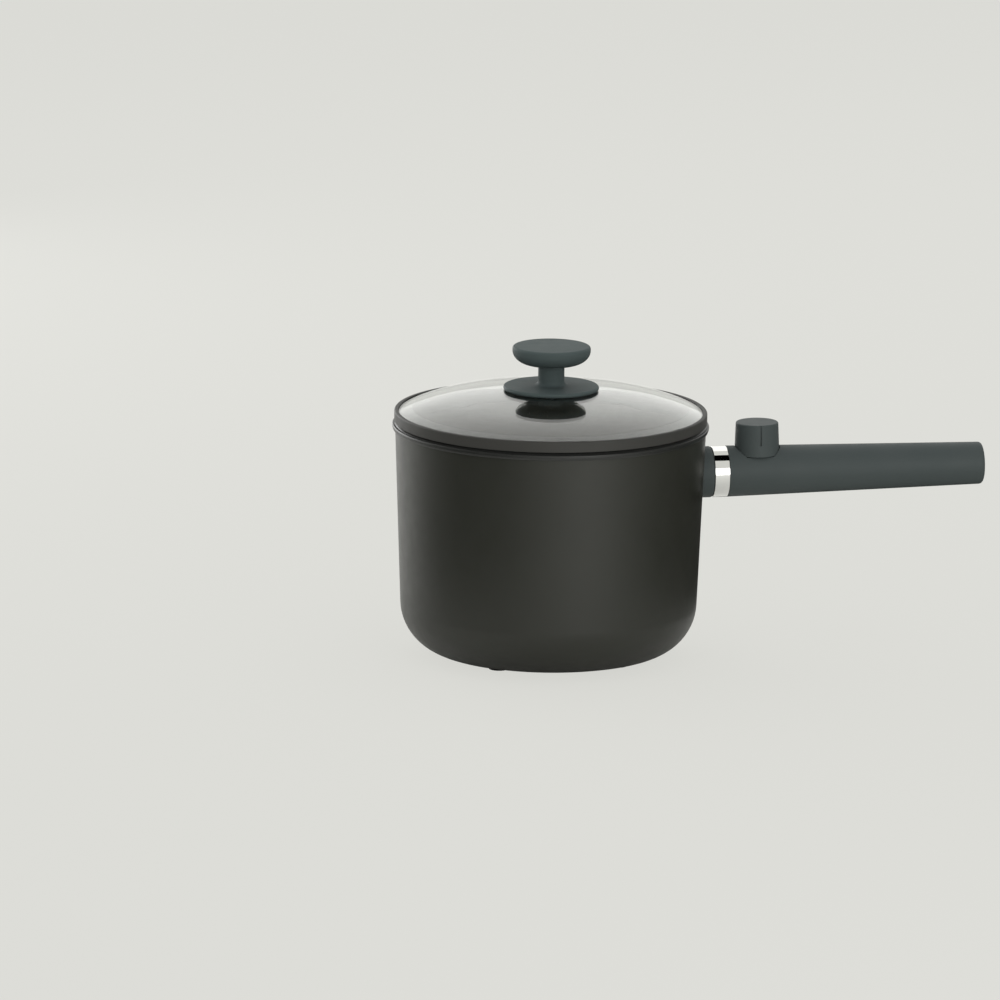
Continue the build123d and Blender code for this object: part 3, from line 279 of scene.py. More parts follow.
# %% [markdown]
# ### Moulded plastics
# The housing is polypropylene from a spark-eroded mould: black right through, matt, with a fine even grain.
# The handle and the knobs are a harder, slightly bluer plastic, and the lid's ring a warmer one.  A grain of
# 0.15 mm would be lost in the picture, so it is drawn 0.6 mm across.  The gloss varies slowly over the surface,
# as it does on every large moulding, and hands polish it a little.

# %% Black plastic
def moulded_plastic(name, dark, light, roughness, grain=0.6, depth=0.012, gloss=0.5, ior=1.46):
    """Black plastic between two close colours, with a moulded grain and slow changes of gloss."""
    material, tree, place = new_material(name)
    cloud = add(tree, "ShaderNodeTexNoise", {"Vector": place, "Scale": per_size(38), "Detail": 3.0})
    tint = add(tree, "ShaderNodeMix", {
        "Factor": cloud.outputs["Fac"], FIRST_COLOUR: linear(dark), SECOND_COLOUR: linear(light),
    }, data_type="RGBA")
    rubbed = add(tree, "ShaderNodeTexNoise", {"Vector": place, "Scale": per_size(9), "Detail": 5.0})
    dull = add(tree, "ShaderNodeMapRange", {
        "Value": rubbed.outputs["Fac"], "From Min": 0.3, "From Max": 0.7,
        "To Min": roughness - 0.035, "To Max": roughness + 0.035,
    })
    grains = add(tree, "ShaderNodeTexNoise", {"Vector": place, "Scale": per_size(grain), "Detail": 2.0})
    bump = add(tree, "ShaderNodeBump", {
        "Height": grains.outputs["Fac"], "Distance": depth * MM, "Strength": 0.6,
    })
    shader = add(tree, "ShaderNodeBsdfPrincipled", {
        "Base Color": tint.outputs[MIXED_COLOUR], "Roughness": dull.outputs["Result"],
        "Normal": bump.outputs["Normal"], "IOR": ior, "Specular IOR Level": gloss,
    })
    add(tree, "ShaderNodeOutputMaterial", {"Surface": shader.outputs["BSDF"]})
    return material


HOUSING_PLASTIC = moulded_plastic("matt_polypropylene", "#24251f", "#2a2b25", 0.42)
HANDLE_PLASTIC = moulded_plastic("soft_matt_handle_plastic", "#404747", "#474d4c", 0.52, gloss=0.16)
LID_PLASTIC = moulded_plastic("heatproof_lid_plastic", "#444d4d", "#4a5453", 0.55, gloss=0.08)
RING_PLASTIC = moulded_plastic("heatproof_ring_plastic", "#353532", "#3b3a37", 0.55, gloss=0.3)
INLET_PLASTIC = moulded_plastic("glass_filled_nylon", "#161616", "#1e1e1d", 0.6, grain=0.9, depth=0.02)
SWITCH_PLASTIC = moulded_plastic("phenolic_switch_body", "#232323", "#2c2b29", 0.4)
FOOT_RUBBER = moulded_plastic("soft_black_rubber", "#151515", "#1c1c1b", 0.75, grain=0.8, depth=0.03)
GASKET_SILICONE = moulded_plastic("black_silicone", "#1b1b1b", "#222222", 0.6, grain=1.0, depth=0.01)


# %% [markdown]
# ### Non-stick coating
# The inner pot is spun aluminium under a sprayed non-stick coating.  The coat is warm grey, smoother than the
# plastic, with fine pale flecks in it and a faint orange peel from the spray gun.  Past the land under the lid a
# second, black coat covers the bead, which is all that shows of the pot while the lid is on.

# %% Sprayed coating
COAT_CHANGE = (80.4, 80.8)   # radii between which the flecked coat gives way to the black one


def sprayed_coating(name, base, fleck, bead, roughness):
    """Coating with fine flecks, which turns to a plain colour on the bead."""
    material, tree, place = new_material(name)
    specks = add(tree, "ShaderNodeTexVoronoi", {"Vector": place, "Scale": per_size(1.6), "Randomness": 1.0})
    dots = add(tree, "ShaderNodeMapRange", {
        "Value": specks.outputs["Distance"], "From Min": 0.10, "From Max": 0.22, "To Min": 1.0, "To Max": 0.0,
    })
    tint = add(tree, "ShaderNodeMix", {
        "Factor": dots.outputs["Result"], FIRST_COLOUR: linear(base), SECOND_COLOUR: linear(fleck),
    }, data_type="RGBA")
    flat = add(tree, "ShaderNodeMapping", {"Vector": place, "Scale": (1, 1, 0)})
    reach = add(tree, "ShaderNodeVectorMath", {0: flat.outputs["Vector"]}, operation="LENGTH")
    past_land = add(tree, "ShaderNodeMapRange", {
        "Value": reach.outputs["Value"], "From Min": COAT_CHANGE[0] * MM, "From Max": COAT_CHANGE[1] * MM,
    })
    coat = add(tree, "ShaderNodeMix", {
        "Factor": past_land.outputs["Result"], FIRST_COLOUR: tint.outputs[MIXED_COLOUR],
        SECOND_COLOUR: linear(bead),
    }, data_type="RGBA")
    peel = add(tree, "ShaderNodeTexNoise", {"Vector": place, "Scale": per_size(2.5), "Detail": 2.0})
    bump = add(tree, "ShaderNodeBump", {"Height": peel.outputs["Fac"], "Distance": 0.02 * MM, "Strength": 0.5})
    worn = add(tree, "ShaderNodeTexNoise", {"Vector": place, "Scale": per_size(25), "Detail": 4.0})
    dull = add(tree, "ShaderNodeMapRange", {
        "Value": worn.outputs["Fac"], "To Min": roughness - 0.05, "To Max": roughness + 0.05,
    })
    shader = add(tree, "ShaderNodeBsdfPrincipled", {
        "Base Color": coat.outputs[MIXED_COLOUR], "Roughness": dull.outputs["Result"],
        "Normal": bump.outputs["Normal"],
    })
    add(tree, "ShaderNodeOutputMaterial", {"Surface": shader.outputs["BSDF"]})
    return material


POT_COATING = sprayed_coating("nonstick_coating", "#5a554b", "#757066", "#242523", 0.4)


# %% [markdown]
# ### Metals
# A metal's colour is its reflection, so its base colour is bright and its IOR stays as it is.  What tells plated
# brass, drawn steel and cast aluminium apart is how rough they are and which way the marks run.

# %% Bare and plated metal
def bare_metal(name, shade, tarnish, roughness, marks=2.0, stretch=(1.0, 1.0, 1.0), depth=0.004):
    """Metal between two shades, with fine marks that a stretch can draw out in one direction."""
    material, tree, place = new_material(name)
    turned_place = add(tree, "ShaderNodeMapping", {"Vector": place, "Scale": stretch})
    scratch = add(tree, "ShaderNodeTexNoise", {
        "Vector": turned_place.outputs["Vector"], "Scale": per_size(marks), "Detail": 4.0,
    })
    tint = add(tree, "ShaderNodeMix", {
        "Factor": scratch.outputs["Fac"], FIRST_COLOUR: linear(shade), SECOND_COLOUR: linear(tarnish),
    }, data_type="RGBA")
    dull = add(tree, "ShaderNodeMapRange", {
        "Value": scratch.outputs["Fac"], "From Min": 0.3, "From Max": 0.7,
        "To Min": roughness * 0.8, "To Max": roughness * 1.25,
    })
    bump = add(tree, "ShaderNodeBump", {
        "Height": scratch.outputs["Fac"], "Distance": depth * MM, "Strength": 0.4,
    })
    shader = add(tree, "ShaderNodeBsdfPrincipled", {
        "Base Color": tint.outputs[MIXED_COLOUR], "Roughness": dull.outputs["Result"],
        "Normal": bump.outputs["Normal"], "Metallic": 1.0,
    })
    add(tree, "ShaderNodeOutputMaterial", {"Surface": shader.outputs["BSDF"]})
    return material


CHROME = bare_metal("polished_chrome_plate", "#f0f0ee", "#eaeae8", 0.05, marks=12, depth=0.001)
SCREW_STEEL = bare_metal("zinc_plated_steel", "#b9bab8", "#a3a4a2", 0.32)
ELEMENT_STEEL = bare_metal("heat_darkened_steel", "#7d746c", "#5f5852", 0.4)
HEATER_ALUMINIUM = bare_metal("cast_aluminium", "#c9cacb", "#b2b3b5", 0.5, marks=1.2, depth=0.03)
CONTACT_BRASS = bare_metal("bare_brass", "#cfae6a", "#b6934f", 0.3)
FUSE_WIRE = bare_metal("tinned_wire", "#c8c8c6", "#b5b5b2", 0.35)


# %% [markdown]
# ### Glass
# The lid is a clear tempered disc.  It is nothing but a smooth surface with the index of soda-lime glass: what
# the eye sees is the pale room mirrored in it near the far edge, and the dark pot through it near the front.
# A trace of wiped-on haze keeps the gloss from being perfect.

# %% Tempered glass
def clear_glass(name, tint, index):
    """Clear glass with a trace of haze."""
    material, tree, place = new_material(name)
    haze = add(tree, "ShaderNodeTexNoise", {"Vector": place, "Scale": per_size(45), "Detail": 3.0})
    dull = add(tree, "ShaderNodeMapRange", {
        "Value": haze.outputs["Fac"], "From Min": 0.4, "From Max": 0.8, "To Min": 0.0, "To Max": 0.006,
    })
    shader = add(tree, "ShaderNodeBsdfPrincipled", {
        "Base Color": linear(tint), "Roughness": dull.outputs["Result"], "IOR": index,
        "Transmission Weight": 1.0,
    })
    add(tree, "ShaderNodeOutputMaterial", {"Surface": shader.outputs["BSDF"]})
    return material


LID_GLASS = clear_glass("tempered_glass", "#f6f8f6", 1.52)

# %% Ceramic and lead insulation, inside the housing
BUSH_CERAMIC = moulded_plastic("steatite_ceramic", "#d8d3c6", "#e2ddd0", 0.5, grain=0.5, ior=1.6)
FUSE_BODY = moulded_plastic("fuse_case", "#bfb39f", "#c9beab", 0.4)
LIVE_SLEEVE = moulded_plastic("brown_silicone_sleeve", "#5a3420", "#633b26", 0.5)
NEUTRAL_SLEEVE = moulded_plastic("blue_silicone_sleeve", "#23427a", "#2a4b86", 0.5)
EARTH_SLEEVE = moulded_plastic("green_silicone_sleeve", "#5d8a2c", "#6a9835", 0.5)

FINISHES = {
    "housing_plastic": HOUSING_PLASTIC,
    "pot_coating": POT_COATING,
    "foot_rubber": FOOT_RUBBER,
    "handle_plastic": HANDLE_PLASTIC,
    "lid_plastic": LID_PLASTIC,
    "inlet_plastic": INLET_PLASTIC,
    "switch_plastic": SWITCH_PLASTIC,
    "lid_glass": LID_GLASS,
    "chrome": CHROME,
    "screw_steel": SCREW_STEEL,
    "element_steel": ELEMENT_STEEL,
    "heater_aluminium": HEATER_ALUMINIUM,
    "bush_ceramic": BUSH_CERAMIC,
    "fuse_body": FUSE_BODY,
    "contact_brass": CONTACT_BRASS,
    "fuse_wire": FUSE_WIRE,
    "gasket_silicone": GASKET_SILICONE,
    "live_insulation": LIVE_SLEEVE,
    "neutral_insulation": NEUTRAL_SLEEVE,
    "earth_insulation": EARTH_SLEEVE,
}
for part in frame["record"]["subparts"]:
    node = frame["nodes"][part["node"]]
    node.data.materials.clear()
    node.data.materials.append(FINISHES[part["material_slot"]])

# %% [markdown]
# ## Housing
# The outer shell is one moulding with a large round between wall and bottom.  Its outline goes down the outside,
# round the opening for the base cover and up the inside, and ends where it began, so the shell has its real
# wall.  Two extra rings above and below the handle keep the cut for the leads from spoiling the wall's shading.

# %% Housing
HANDLE_BAND = (85.0, 113.0)
COVER_LAP = (38.7, 3.5)      # radius and height of the step that the base cover's flange fills
OPENING_RADIUS = 35.3
OPENING_RIB = (41.3, 6.0)
FLOOR = FOOT_GAP + HOUSING_WALL
IN_RADIUS = HOUSING_RADIUS - HOUSING_WALL
housing = turned("pot_housing", rounded([
    (wall(HOUSING_RADIUS, HOUSING_TOP), HOUSING_TOP),
    (wall(HOUSING_RADIUS, HANDLE_BAND[1]), HANDLE_BAND[1]),
    (wall(HOUSING_RADIUS, HANDLE_BAND[0]), HANDLE_BAND[0]),
    (wall(HOUSING_RADIUS, FOOT_GAP), FOOT_GAP, HOUSING_CORNER),
    (COVER_LAP[0], FOOT_GAP, 0.3),
    COVER_LAP,
    (OPENING_RADIUS, COVER_LAP[1]),
    (OPENING_RADIUS, OPENING_RIB[1]),
    OPENING_RIB,
    (OPENING_RIB[0], FLOOR),
    (wall(IN_RADIUS, FLOOR), FLOOR, HOUSING_CORNER - HOUSING_WALL),
    (wall(IN_RADIUS, HANDLE_BAND[0]), HANDLE_BAND[0]),
    (wall(IN_RADIUS, HANDLE_BAND[1]), HANDLE_BAND[1]),
    (wall(IN_RADIUS, HOUSING_TOP), HOUSING_TOP),
], steps=16), closed=True)

# %% Pockets for the feet
FOOT_RADIUS = 5.5
POCKET_FIT = 0.1
FOOT_CIRCLE = 45.7
FOOT_TOP = high("feet").z
FOOT_ANGLES = (45, 135, 225, 315)
FOOT_PLACES = [(FOOT_CIRCLE * math.cos(math.radians(turn)), FOOT_CIRCLE * math.sin(math.radians(turn)))
               for turn in FOOT_ANGLES]
for x, y in FOOT_PLACES:
    carve(housing, rod(FOOT_RADIUS + POCKET_FIT, 0, FOOT_TOP, x, y))

# %% [markdown]
# ## Handle's own frame
# The handle leans up by half a degree.  Its pieces are made lying along X from the end of the chrome ring, and
# one matrix then puts them all on the pot.  A turned piece stands on Z, so it is first laid down along X.

# %% Where the handle is
HANDLE_X = 95.9
HANDLE_Z = 98.4
HANDLE_LEAN = math.radians(0.55)
ON_POT = Matrix.Translation((HANDLE_X * MM, 0, HANDLE_Z * MM)) @ Matrix.Rotation(-HANDLE_LEAN, 4, "Y")
LAID_DOWN = Matrix.Rotation(math.pi / 2, 4, "Y")
LEAD_HOLE = 6.5
LEAD_WAY = (-30, -8)         # where the hole through the housing starts and ends along the handle


def laid(name, outline, sides=96, closed=False):
    """Turned piece that lies along X; the outline is (radius, place along the handle)."""
    piece = turned(name, outline, sides, closed)
    put(piece, LAID_DOWN)
    return piece


lead_way = laid("lead_way", [
    (POLE, LEAD_WAY[0]), (LEAD_HOLE, LEAD_WAY[0]), (LEAD_HOLE, LEAD_WAY[1]), (POLE, LEAD_WAY[1]),
], 48)
put(lead_way, ON_POT)
carve(housing, lead_way)
finish(housing, "pot", "outer_housing", HOUSING_PLASTIC)

# %% [markdown]
# ## Inner pot
# Spun from one disc of aluminium: floor, corner, wall and a flat land for the lid.  Outside the land the rim
# slopes down to a rolled bead that hangs over the housing's edge, with one fine line round it.

# %% Inner pot with its rolled rim
RIM_THICKNESS = 1.5
LAND_EDGE = RIM_RADIUS - 3.8
BEAD_FOOT = RIM_RADIUS - 1.4
BEAD_TOP = RIM_HEIGHT - 1.9
BEAD_EDGE = 0.6
BEAD_BULGE = 0.4             # four times how far the bead's side stands out halfway down
LIP_BOTTOM = RIM_HEIGHT - 4.7
LIP_INSIDE = HOUSING_RADIUS + 0.1
LIP_EDGE = 0.8
LINE_MIDDLE, LINE_WIDTH, LINE_DEPTH = RIM_HEIGHT - 3.3, 0.35, 0.3
LINE_HIGH, LINE_LOW = LINE_MIDDLE + LINE_WIDTH / 2, LINE_MIDDLE - LINE_WIDTH / 2
LINE_RADIUS = RIM_RADIUS - LINE_DEPTH
INSIDE = POT_RADIUS - POT_WALL
POT_FLOOR = POT_UNDERSIDE + POT_WALL
UNDER_LAND = RIM_HEIGHT - RIM_THICKNESS
FOLD_TOP = LAND_EDGE - 0.6
FOLD_END = FOLD_TOP + (UNDER_LAND - HOUSING_TOP) * (BEAD_FOOT - LAND_EDGE) / (RIM_HEIGHT - BEAD_TOP)


def bead_side(height):
    """Point on the bead's outside, which bulges a little between its upper edge and the lip."""
    share = (BEAD_TOP - BEAD_EDGE - height) / (BEAD_TOP - BEAD_EDGE - LIP_BOTTOM)
    leaning = RIM_RADIUS + (LIP_INSIDE + LIP_EDGE - RIM_RADIUS) * share
    return leaning + BEAD_BULGE * share * (1 - share), height


pot = turned("inner_pot_shell", rounded([
    (POLE, POT_FLOOR),
    (wall(INSIDE, POT_FLOOR), POT_FLOOR, POT_CORNER - POT_WALL),
    (INSIDE, RIM_HEIGHT, 0.6),
    (LAND_EDGE, RIM_HEIGHT, 0.5),
    (BEAD_FOOT, BEAD_TOP, 0.3),
    (RIM_RADIUS, BEAD_TOP, BEAD_EDGE),
    bead_side(LINE_HIGH),
    (LINE_RADIUS, LINE_HIGH),
    (LINE_RADIUS, LINE_LOW),
    bead_side(LINE_LOW),
    bead_side((LINE_LOW + LIP_BOTTOM) / 2),
    (LIP_INSIDE + LIP_EDGE, LIP_BOTTOM, 0.2),
    (LIP_INSIDE, LIP_BOTTOM, 0.2),
    (LIP_INSIDE, HOUSING_TOP),
    (FOLD_END, HOUSING_TOP),
    (FOLD_TOP, UNDER_LAND),
    (wall(POT_RADIUS, UNDER_LAND), UNDER_LAND),
    (wall(POT_RADIUS, POT_UNDERSIDE), POT_UNDERSIDE, POT_CORNER),
    (POLE, POT_UNDERSIDE),
], steps=10))
finish(pot, "pot", "inner_pot", POT_COATING)

# %% [markdown]
# ## Lid glass
# The glass is pressed to two radii: nearly flat in the middle and rounder towards its edge.  A formula gives its
# height at any radius and depth, and the ring and the knob's disc use the same one, so that they sit on it.

# %% The glass's curve
GLASS_EDGE = 82.2
GLASS_THICKNESS = 3.6
GLASS_HOLE = 4.2
CROWN_RADIUS = 320.0
CROWN_REACH = 52.0
SHOULDER_RADIUS = 125.0
GLASS_APEX = high("lid_glass").z + CROWN_RADIUS - math.sqrt(CROWN_RADIUS ** 2 - GLASS_HOLE ** 2)


def glass_point(radius, depth=0.0):
    """Point (radius, height) at a depth under the glass's outside."""
    crown_angle = math.asin(CROWN_REACH / CROWN_RADIUS)
    crown_centre = GLASS_APEX - CROWN_RADIUS
    if radius <= (CROWN_RADIUS - depth) * math.sin(crown_angle):
        return radius, crown_centre + math.sqrt((CROWN_RADIUS - depth) ** 2 - radius ** 2)
    step = CROWN_RADIUS - SHOULDER_RADIUS
    offset = radius - step * math.sin(crown_angle)
    centre = crown_centre + step * math.cos(crown_angle)
    return radius, centre + math.sqrt((SHOULDER_RADIUS - depth) ** 2 - offset ** 2)


GLASS_RINGS = 26
across = [GLASS_HOLE + (GLASS_EDGE - GLASS_HOLE) * step / GLASS_RINGS for step in range(GLASS_RINGS + 1)]
glass = turned("lid_glass_disc", [
    *(glass_point(radius) for radius in across),
    *(glass_point(radius, GLASS_THICKNESS) for radius in reversed(across)),
], sides=192, closed=True)
finish(glass, "lid", "lid_glass", LID_GLASS)

# %% [markdown]
# ## Lid ring
# A moulded ring grips the glass's edge.  A flat land under it rests on the pot's rim, a thin skirt drops inside
# and centres the lid, and the ring's outer edge hangs down past the land, clear of the rim's slope.

# %% Lid ring
SIGHT_RADIUS = 81.6
LID_LAND = 82.6
LID_DROP = 0.5
SKIRT_RADIUS = 74.8
SKIRT_INSIDE = 73.4
SKIRT_BOTTOM = low("lid_ring").z
RING_FIT = 0.02
RING_TOP_ROUND = 0.9


def under_glass(radius):
    """Point just under the glass."""
    return radius, glass_point(radius, GLASS_THICKNESS)[1] - RING_FIT


def over_glass(radius):
    """Point just over the glass."""
    return radius, glass_point(radius)[1] + RING_FIT


ring = turned("lid_rim", rounded([
    (SKIRT_INSIDE, SKIRT_BOTTOM, 0.4),
    (SKIRT_RADIUS, SKIRT_BOTTOM, 0.4),
    (SKIRT_RADIUS, RIM_HEIGHT),
    (LID_LAND, RIM_HEIGHT),
    (LID_LAND, RIM_HEIGHT - LID_DROP),
    (LID_RADIUS, RIM_HEIGHT - LID_DROP, 0.25),
    (LID_RADIUS, LID_TOP, RING_TOP_ROUND),
    (SIGHT_RADIUS, LID_TOP, 0.5),
    over_glass(SIGHT_RADIUS),
    over_glass(GLASS_EDGE + RING_FIT),
    under_glass(GLASS_EDGE + RING_FIT),
    under_glass(79.0),
    under_glass(76.0),
    under_glass(SKIRT_INSIDE),
]), closed=True)
finish(ring, "lid", "lid_ring", RING_PLASTIC)

# %% [markdown]
# ## Lid knob
# Head, neck and guard disc are one moulding.  The head's underside is a quarter of an ellipse, which is what
# makes it look like a shallow bowl, and the disc follows the glass a tenth of a millimetre above it.

# %% Lid knob
GRIP_RADIUS = 21.0
GRIP_BOTTOM = GRIP_TOP - 10.0
GRIP_FLAT = 11.0
GRIP_BOWL = 7.5
GRIP_EDGE = 1.6
NECK_RADIUS = 7.05
NECK_ROUND = 2.6
GUARD_TOP = GLASS_APEX + 1.4
GUARD_RISE = 0.5
GUARD_GAP = 0.1
GUARD_INSET = (0.75, 0.8)    # how far the disc's edge draws in below and above
GASKET_POCKET = (8.2, GLASS_APEX + 0.6)
INSERT_BORE = (3.8, GASKET_POCKET[1] + 11.4)
BOWL_STEPS = 14


def on_disc(radius):
    """Point on the disc's underside, which follows the glass."""
    return radius, glass_point(radius)[1] + GUARD_GAP


bowl = []
for step in range(1, BOWL_STEPS):
    angle = math.pi / 2 * step / BOWL_STEPS
    bowl.append((
        GRIP_FLAT + (GRIP_RADIUS - GRIP_FLAT) * math.cos(angle),
        GRIP_BOTTOM + GRIP_BOWL * (1 - math.sin(angle)),
    ))
disc_low = on_disc(GUARD_RADIUS - GUARD_INSET[0])
disc_high = (GUARD_RADIUS - GUARD_INSET[1], GUARD_TOP)
disc_middle = (GUARD_RADIUS, (disc_low[1] + disc_high[1]) / 2)
head = rounded([(POLE, GRIP_TOP), (GRIP_RADIUS, GRIP_TOP, GRIP_EDGE), (GRIP_RADIUS, GRIP_BOTTOM + GRIP_BOWL)])
neck = rounded([
    (GRIP_FLAT, GRIP_BOTTOM),
    (NECK_RADIUS, GRIP_BOTTOM, 0.5),
    (NECK_RADIUS, GUARD_TOP + GUARD_RISE, NECK_ROUND),
    disc_high,
])
underside = [
    *(on_disc(radius) for radius in (20.0, 14.0, GASKET_POCKET[0])),
    GASKET_POCKET,
    (INSERT_BORE[0], GASKET_POCKET[1]),
    INSERT_BORE,
    (POLE, INSERT_BORE[1]),
]
disc_edge = arc_through(disc_high, disc_middle, disc_low, 5)[1:]
lid_handle = turned("lid_handle", head + bowl + neck + disc_edge + underside, sides=128)
finish(lid_handle, "lid", "lid_knob", LID_PLASTIC)

# %% [markdown]
# ## Handle stub, chrome ring and grip
# A stub on the housing carries everything.  Its inner end follows the drafted wall, so the bar is made too long
# and the pot's outer shape is cut away from it.  A groove in its spigot holds the grip.

# %% Stub on the pot's wall
HANDLE_RADIUS = 13.75
RING_LENGTH = 8.1
SPIGOT_RADIUS = 11.1
SPIGOT_LENGTH = 4.2
SPIGOT_LIP = 1.4
SPIGOT_GROOVE = 1.5
SPIGOT_FIT = 0.1
STUB_START = -40             # well inside the pot, to be cut off along its wall
stub = laid("handle_stub", rounded([
    (LEAD_HOLE, STUB_START),
    (HANDLE_RADIUS, STUB_START),
    (HANDLE_RADIUS, -RING_LENGTH, 1.2),
    (SPIGOT_RADIUS, -RING_LENGTH),
    (SPIGOT_RADIUS, SPIGOT_LIP),
    (SPIGOT_RADIUS - SPIGOT_GROOVE, SPIGOT_LIP),
    (SPIGOT_RADIUS - SPIGOT_GROOVE, SPIGOT_LENGTH - SPIGOT_LIP),
    (SPIGOT_RADIUS, SPIGOT_LENGTH - SPIGOT_LIP),
    (SPIGOT_RADIUS, SPIGOT_LENGTH),
    (LEAD_HOLE, SPIGOT_LENGTH),
]), closed=True)
put(stub, ON_POT)
pot_shape = turned("pot_shape", rounded([
    (POLE, FOOT_GAP),
    (wall(HOUSING_RADIUS, FOOT_GAP), FOOT_GAP, HOUSING_CORNER),
    (HOUSING_RADIUS, RIM_HEIGHT),
    (POLE, RIM_HEIGHT),
], steps=16))
carve(stub, pot_shape)
finish(stub, "pot", "handle_socket", HANDLE_PLASTIC)

# %% Chrome ring
RING_RADIUS = 13.7
RING_EDGE = 0.25
collar = laid("chrome_collar", rounded([
    (SPIGOT_RADIUS + SPIGOT_FIT, -RING_LENGTH),
    (RING_RADIUS, -RING_LENGTH, RING_EDGE),
    (RING_RADIUS, 0, RING_EDGE),
    (SPIGOT_RADIUS + SPIGOT_FIT, 0),
], steps=3), sides=128, closed=True)
put(collar, ON_POT)
finish(collar, "pot", "handle_ring", CHROME)

# %% [markdown]
# ## Grip
# The grip is two half shells that meet a little below the middle.  Both come from the same hollow tapered bar,
# which is cut in two.  The upper half gets the round seat for the switch's knob and a fine groove along the
# joint; the lower half gets pillars with deep holes for its three screws.

# %% The hollow bar
HANDLE_LENGTH = 140.1
TAIL_RADIUS = 11.3
TAIL_ROUND = 2.0
TAIL_WALL = 2.4
HANDLE_WALL = 2.2
INLET_RADIUS = 8.0
INLET_FIT = 0.1
RIB = (1.5, 2.7)             # start and end of the rib that snaps into the spigot's groove
SHADE_RINGS = (45, 95)       # extra rings that keep the long bar's shading even
PARTING = -1.5
SEAM_WIDTH = 0.25
SEAM_DEPTH = 0.8
GRIP_SIDES = 128


def grip_radius(along, inset=0.0):
    """Radius of the tapered grip at a place along it, a given depth under its surface."""
    return HANDLE_RADIUS - (HANDLE_RADIUS - TAIL_RADIUS) * along / HANDLE_LENGTH - inset


def hollow_bar(name):
    """The whole grip before it is cut in two."""
    tail = HANDLE_LENGTH - TAIL_WALL
    return laid(name, rounded([
        (grip_radius(0), 0, 0.3),
        *((grip_radius(along), along) for along in SHADE_RINGS),
        (TAIL_RADIUS, HANDLE_LENGTH, TAIL_ROUND),
        (INLET_RADIUS + INLET_FIT, HANDLE_LENGTH, 0.3),
        (INLET_RADIUS + INLET_FIT, tail),
        (grip_radius(tail, HANDLE_WALL), tail),
        (grip_radius(RIB[1], HANDLE_WALL), RIB[1]),
        (SPIGOT_RADIUS - SPIGOT_GROOVE + SPIGOT_FIT, RIB[1]),
        (SPIGOT_RADIUS - SPIGOT_GROOVE + SPIGOT_FIT, RIB[0]),
        (grip_radius(RIB[0], HANDLE_WALL), RIB[0]),
        (grip_radius(0, HANDLE_WALL), 0),
    ]), GRIP_SIDES, closed=True)


def bar_inside(start, end, inset=HANDLE_WALL / 2):
    """Solid bar inside the grip's wall, to trim what is added to the shells."""
    return laid("bar_inside", [(POLE, start), (grip_radius(start, inset), start),
                               (grip_radius(end, inset), end), (POLE, end)], GRIP_SIDES)


# %% Upper shell
KNOB_X = 16.9
SEAT_RADIUS = 12.4
SEAT_WALL = 1.8
SEAT_FLOOR = 8.9
SEAT_UNDERSIDE = 7.1
BUSHING_HOLE = 3.6
upper = hollow_bar("handle_upper")
halved(upper, PARTING, keep_top=True)
seat = rod(SEAT_RADIUS + SEAT_WALL, SEAT_UNDERSIDE, HANDLE_RADIUS, KNOB_X, sides=96)
carve(seat, bar_inside(SPIGOT_LENGTH + 0.1, HANDLE_LENGTH / 2), "INTERSECT")
carve(upper, seat, "UNION")
carve(upper, rod(SEAT_RADIUS, SEAT_FLOOR, 2 * HANDLE_RADIUS, KNOB_X, sides=96))
carve(upper, rod(BUSHING_HOLE, 0, HANDLE_RADIUS, KNOB_X))

# %% The groove along the joint
groove = laid("groove", [
    (grip_radius(-1, -1), -1),
    (grip_radius(HANDLE_LENGTH + 1, -1), HANDLE_LENGTH + 1),
    (POLE, HANDLE_LENGTH + 1),
    (POLE, HANDLE_LENGTH - SEAM_DEPTH),
    (grip_radius(HANDLE_LENGTH - SEAM_DEPTH, SEAM_DEPTH), HANDLE_LENGTH - SEAM_DEPTH),
    (grip_radius(-1, SEAM_DEPTH), -1),
], GRIP_SIDES, closed=True)
halved(groove, PARTING - 0.1, keep_top=True)
halved(groove, PARTING + SEAM_WIDTH, keep_top=False)
carve(upper, groove)
put(upper, ON_POT)
finish(upper, "pot", "handle_upper_shell", HANDLE_PLASTIC)

# %% Lower shell
SCREW_PLACES = (40.0, 75.0, 106.0)
PILLAR_RADIUS = 4.2
HEAD_HOLE = 2.8
HEAD_SEAT = PARTING - 4.0
SHANK_HOLE = 1.5
lower = hollow_bar("handle_lower")
halved(lower, PARTING, keep_top=False)
for along in SCREW_PLACES:
    pillar = rod(PILLAR_RADIUS, -HANDLE_RADIUS, PARTING, along)
    carve(pillar, bar_inside(0, HANDLE_LENGTH), "INTERSECT")
    carve(lower, pillar, "UNION")
    carve(lower, rod(HEAD_HOLE, -2 * HANDLE_RADIUS, HEAD_SEAT, along))
    carve(lower, rod(SHANK_HOLE, -HANDLE_RADIUS, 0, along))
put(lower, ON_POT)
finish(lower, "pot", "handle_lower_shell", HANDLE_PLASTIC)

# %% [markdown]
# ## Switch knob
# A hollow cap, a little wider at its base, with one fine line down its side that points at the setting.  The
# line is cut with a thin block.

